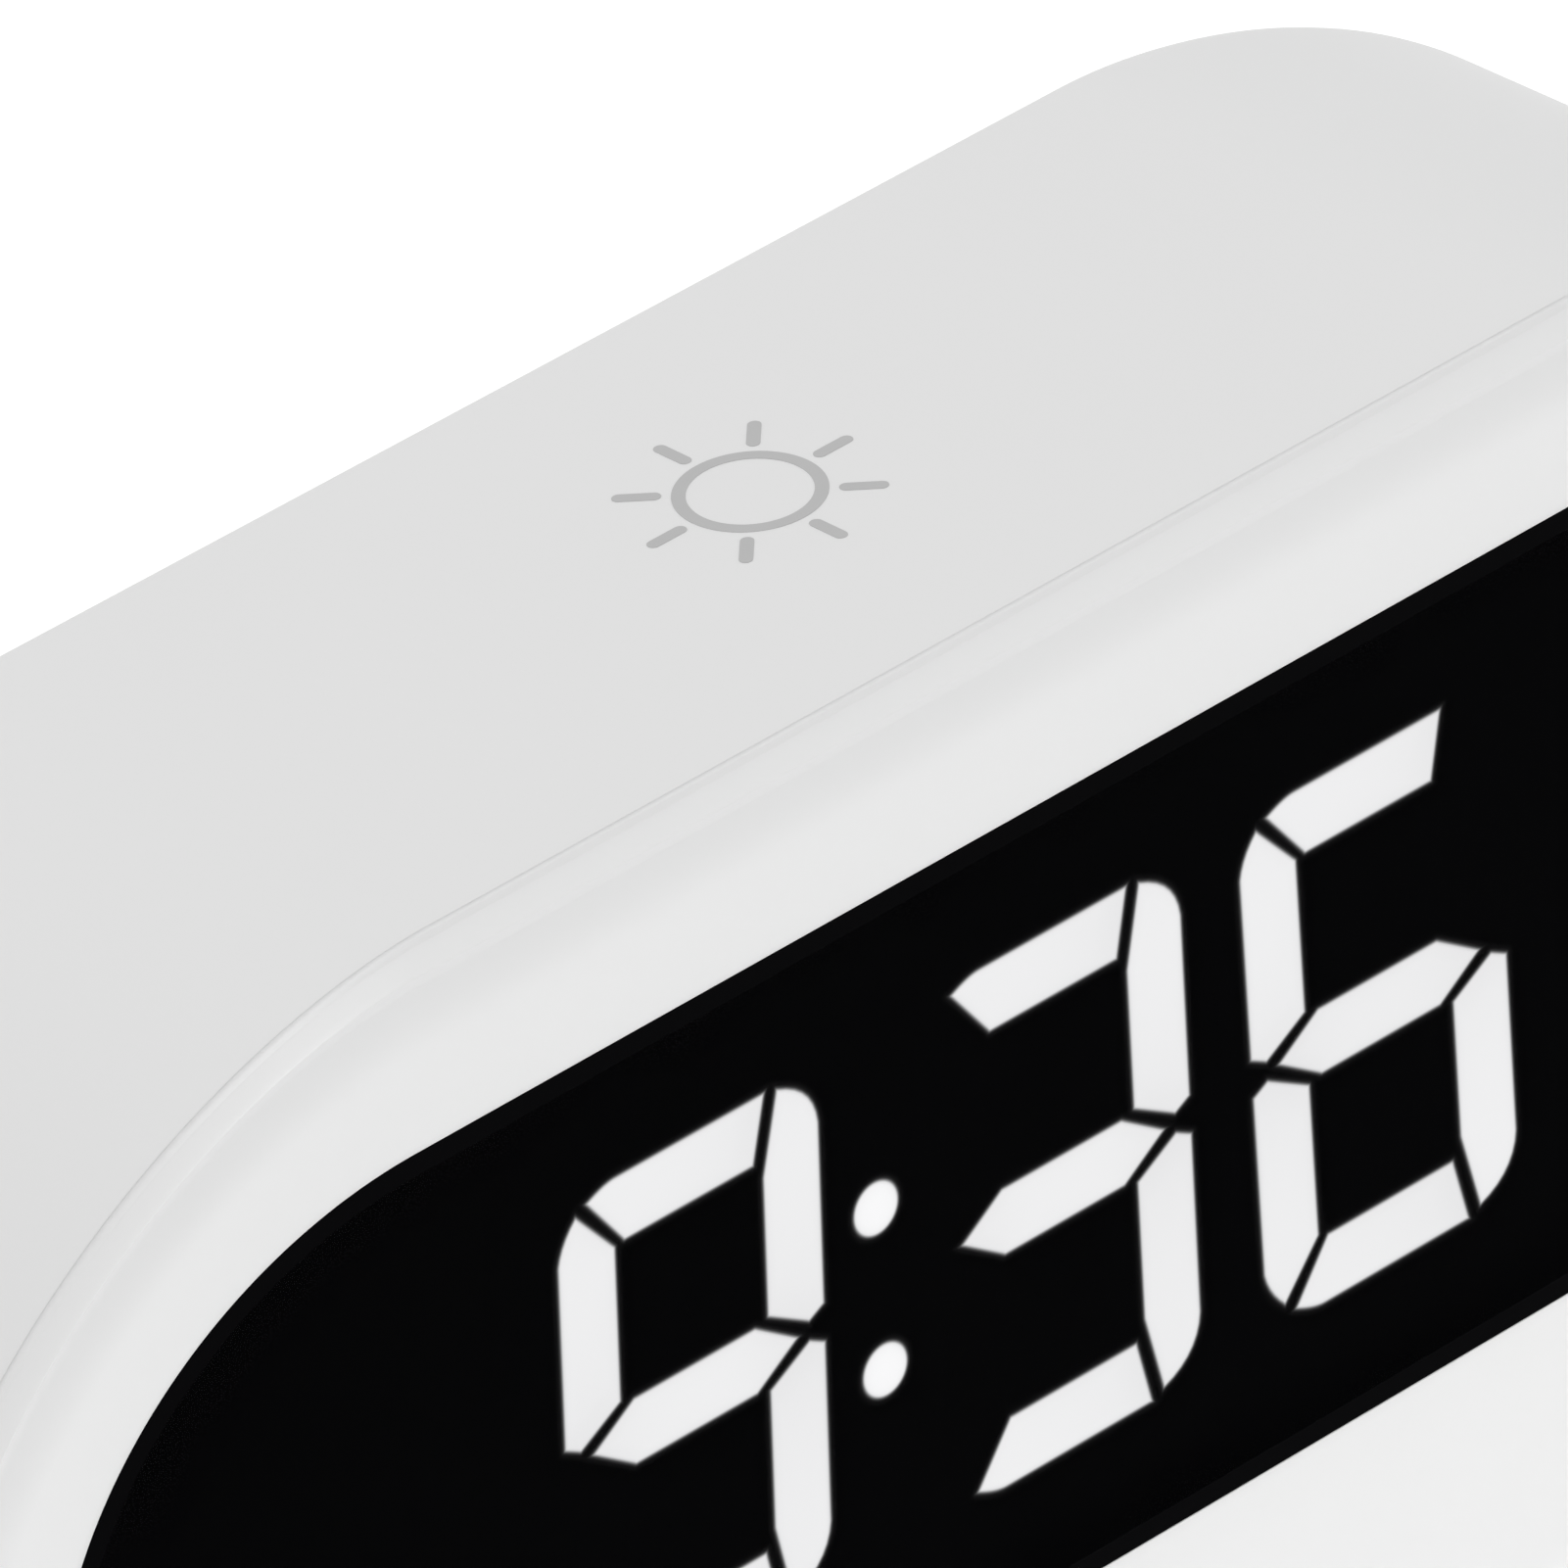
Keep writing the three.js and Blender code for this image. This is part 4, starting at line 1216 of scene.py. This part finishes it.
class CLOCK_OT_case_screws(bpy.types.Operator):
    """Build the pan-head screws at the bottom of the four wells"""

    bl_idname = "clock.case_screws"
    bl_label = "Case Screws"

    def execute(self, context):
        # Mild steel, cold headed and zinc plated: bluish grey with fine turning marks.
        zinc = plated("zinc_plate", "#a9adb2", 0.35, 0.12, (1, 1, 1))
        turns = [math.pi / 2 * i / 8 for i in range(8)]
        dome = [(2.8 * math.cos(t), 0.35 + 1.33 * math.sin(t)) for t in turns]
        profile = [(0.3, -13), (1.2, -12), (1.45, -11.4), (1.45, 0.0), (2.65, 0.0), (2.8, 0.15), *dome]
        for row, sz in (("upper", 1), ("lower", -1)):
            for side, sx in (("left", -1), ("right", 1)):
                x, z = sx * SCREW_X, sz * SCREW_Z
                head = spot(x, SCREW_HEAD_Y, z)
                screw = turned(f"pan_head_screw_{row}_{side}", profile, head, (0, 1, 0), zinc, 32)
                # The cross recess: two slots, each half as long at its bottom.
                wings = []
                for low, high in (((1.55, 0.75), (3.1, 0.75)), ((0.75, 1.55), (0.75, 3.1))):
                    bottom = level(rectangle(*low), SCREW_HEAD_Y + 0.4, x, z)
                    top = level(rectangle(*high), SCREW_HEAD_Y + 2.5, x, z)
                    wings.append(skin("wing", [bottom, top]))
                combine(screw, wings)
                smooth(screw)
                settle(screw, "case", "screw_steel", f"case_screw_{row}_{side}")
        return {"FINISHED"}


class CLOCK_OT_inner_parts(bpy.types.Operator):
    """Finish the parts inside the case that keep their own shape"""

    bl_idname = "clock.inner_parts"
    bl_label = "Inner Parts"

    def execute(self, context):
        finishes = {
            "black_plastic": black_abs("black_abs", "#17171a", 0.55),
            # Closed-cell foam tape with its adhesive: dull, with pores about 0.3 mm across.
            "foam_tape": grained(
                "foam_tape", linear("#262628"), 0.92, 0.3, 0.05, drift=0.15, drift_mm=2.0
            ),
            "circuit_board": circuit_board(),
            # Epoxy moulding compound with a silica filler: dark grey, faintly sparkling.
            "chip_epoxy": grained(
                "moulding_epoxy", linear("#1b1b1d"), 0.6, 0.2, 0.01, drift=0.1, drift_mm=1.0
            ),
            # Nylon, moulded natural: creamy and slightly waxy.
            "nylon": grained(
                "natural_nylon", linear("#ece6d3"), 0.45, 0.4, 0.005, drift=0.03, drift_mm=5.0
            ),
            # Plasticised PVC, extruded over the wires of a flat cable.
            "cable_pvc": grained(
                "cable_pvc", linear("#9c9ea0"), 0.5, 0.5, 0.01, drift=0.05, drift_mm=6.0
            ),
            "screw_steel": plated("small_screw_zinc", "#a9adb2", 0.35, 0.12, (1, 1, 1)),
            # Nickel plate over brass or steel: warm and bright.
            "nickel_plate": plated("bright_nickel", "#c6c2b8", 0.22, 0.2, (1, 0.2, 1)),
            # Rolled copper foil, already a little tarnished.
            "copper_foil": plated("copper_foil", "#c98563", 0.3, 0.2, (0.2, 1, 1)),
        }
        slots = {row["node"]: row["material_slot"] for row in frame["record"]["subparts"]}
        for name, node in frame["nodes"].items():
            if node.hide_render:
                continue
            finish = finishes.get(slots[name])
            if finish is None:
                raise RuntimeError(f"{name} has no finish for {slots[name]}")
            node.data.materials.clear()
            node.data.materials.append(finish)
        return {"FINISHED"}


# ---------------------------------------------------------------- stage


class CLOCK_OT_stage(bpy.types.Operator):
    """Lay the floor, set the light and place the camera"""

    bl_idname = "clock.stage"
    bl_label = "Stage"

    def execute(self, context):
        scene, studio = context.scene, context.scene.clock_studio
        half = 6.0  # m, half the side of the floor
        corners = [(half, half, 0), (-half, half, 0), (-half, -half, 0), (half, -half, 0)]
        floor = piece_from("floor", corners, [(0, 1, 2, 3)], floor_finish(studio))

        surround = bpy.data.worlds.new("white_surround")
        surround.use_nodes = True
        sky = surround.node_tree.nodes["Background"]
        sky.inputs["Color"].default_value = (1, 1, 1, 1)
        sky.inputs["Strength"].default_value = studio.sky
        scene.world = surround

        softbox = bpy.data.lights.new("softbox", "AREA")
        softbox.shape = "DISK"
        softbox.size = 0.7
        softbox.energy = studio.top_light
        holder = bpy.data.objects.new("softbox", softbox)
        holder.location = (0.0, 0.05, 1.6)
        holder.rotation_euler = (-Vector(holder.location)).to_track_quat("-Z", "Y").to_euler()
        scene.collection.objects.link(holder)

        camera = bpy.data.cameras.new("camera")
        camera.lens = studio.lens
        camera.sensor_width = 36.0
        camera.clip_start, camera.clip_end = 0.05, 50.0
        place = bpy.data.objects.new("camera", camera)
        azimuth, elevation, roll = studio.azimuth, studio.elevation, studio.roll
        back = Vector(
            (
                math.sin(azimuth) * math.cos(elevation),
                -math.cos(azimuth) * math.cos(elevation),
                math.sin(elevation),
            )
        )
        level_right = (-back).cross(Vector((0, 0, 1))).normalized()
        level_up = level_right.cross(-back)
        right = math.cos(roll) * level_right + math.sin(roll) * level_up
        up = -math.sin(roll) * level_right + math.cos(roll) * level_up
        turn = Matrix((right, up, back)).transposed().to_4x4()
        aim = spot(-3.482, 20.845, 22.474)  # where the middle of the frame falls
        place.matrix_world = Matrix.Translation(aim + back * studio.distance) @ turn
        scene.collection.objects.link(place)
        scene.camera = place
        scene.view_settings.view_transform = "Standard"
        return {"FINISHED"}


# ---------------------------------------------------------------- add-on

BUILD_ORDER = (
    CLOCK_OT_rear_shell,
    CLOCK_OT_front_bezel,
    CLOCK_OT_window,
    CLOCK_OT_figures,
    CLOCK_OT_touch_mark,
    CLOCK_OT_keys,
    CLOCK_OT_battery_door,
    CLOCK_OT_power_socket,
    CLOCK_OT_feet,
    CLOCK_OT_case_screws,
    CLOCK_OT_inner_parts,
    CLOCK_OT_stage,
)
SETTINGS = {
    "clock_case": ClockCase,
    "clock_display": ClockDisplay,
    "clock_colours": ClockColours,
    "clock_studio": ClockStudio,
}


class CLOCK_PT_sidebar(bpy.types.Panel):
    """Settings of the clock, and one button for each group of pieces"""

    bl_idname = "CLOCK_PT_sidebar"
    bl_label = "Alarm Clock"
    bl_space_type = "VIEW_3D"
    bl_region_type = "UI"
    bl_category = "Clock"

    def draw(self, context):
        for name, group in SETTINGS.items():
            box = self.layout.box()
            box.label(text=group.__doc__)
            for key in group.__annotations__:
                box.prop(getattr(context.scene, name), key)
        for operator in BUILD_ORDER:
            self.layout.operator(operator.bl_idname)


def register():
    for group in SETTINGS.values():
        bpy.utils.register_class(group)
    for name, group in SETTINGS.items():
        setattr(bpy.types.Scene, name, PointerProperty(type=group))
    for operator in BUILD_ORDER:
        bpy.utils.register_class(operator)
    bpy.utils.register_class(CLOCK_PT_sidebar)


def unregister():
    bpy.utils.unregister_class(CLOCK_PT_sidebar)
    for operator in reversed(BUILD_ORDER):
        bpy.utils.unregister_class(operator)
    for name, group in reversed(SETTINGS.items()):
        delattr(bpy.types.Scene, name)
        bpy.utils.unregister_class(group)


def main():
    register()
    bpy.ops.clock.rear_shell()
    bpy.ops.clock.front_bezel()
    bpy.ops.clock.window()
    bpy.ops.clock.figures()
    bpy.ops.clock.touch_mark()
    bpy.ops.clock.keys()
    bpy.ops.clock.battery_door()
    bpy.ops.clock.power_socket()
    bpy.ops.clock.feet()
    bpy.ops.clock.case_screws()
    bpy.ops.clock.inner_parts()
    bpy.ops.clock.stage()


if __name__ == "__main__":
    main()
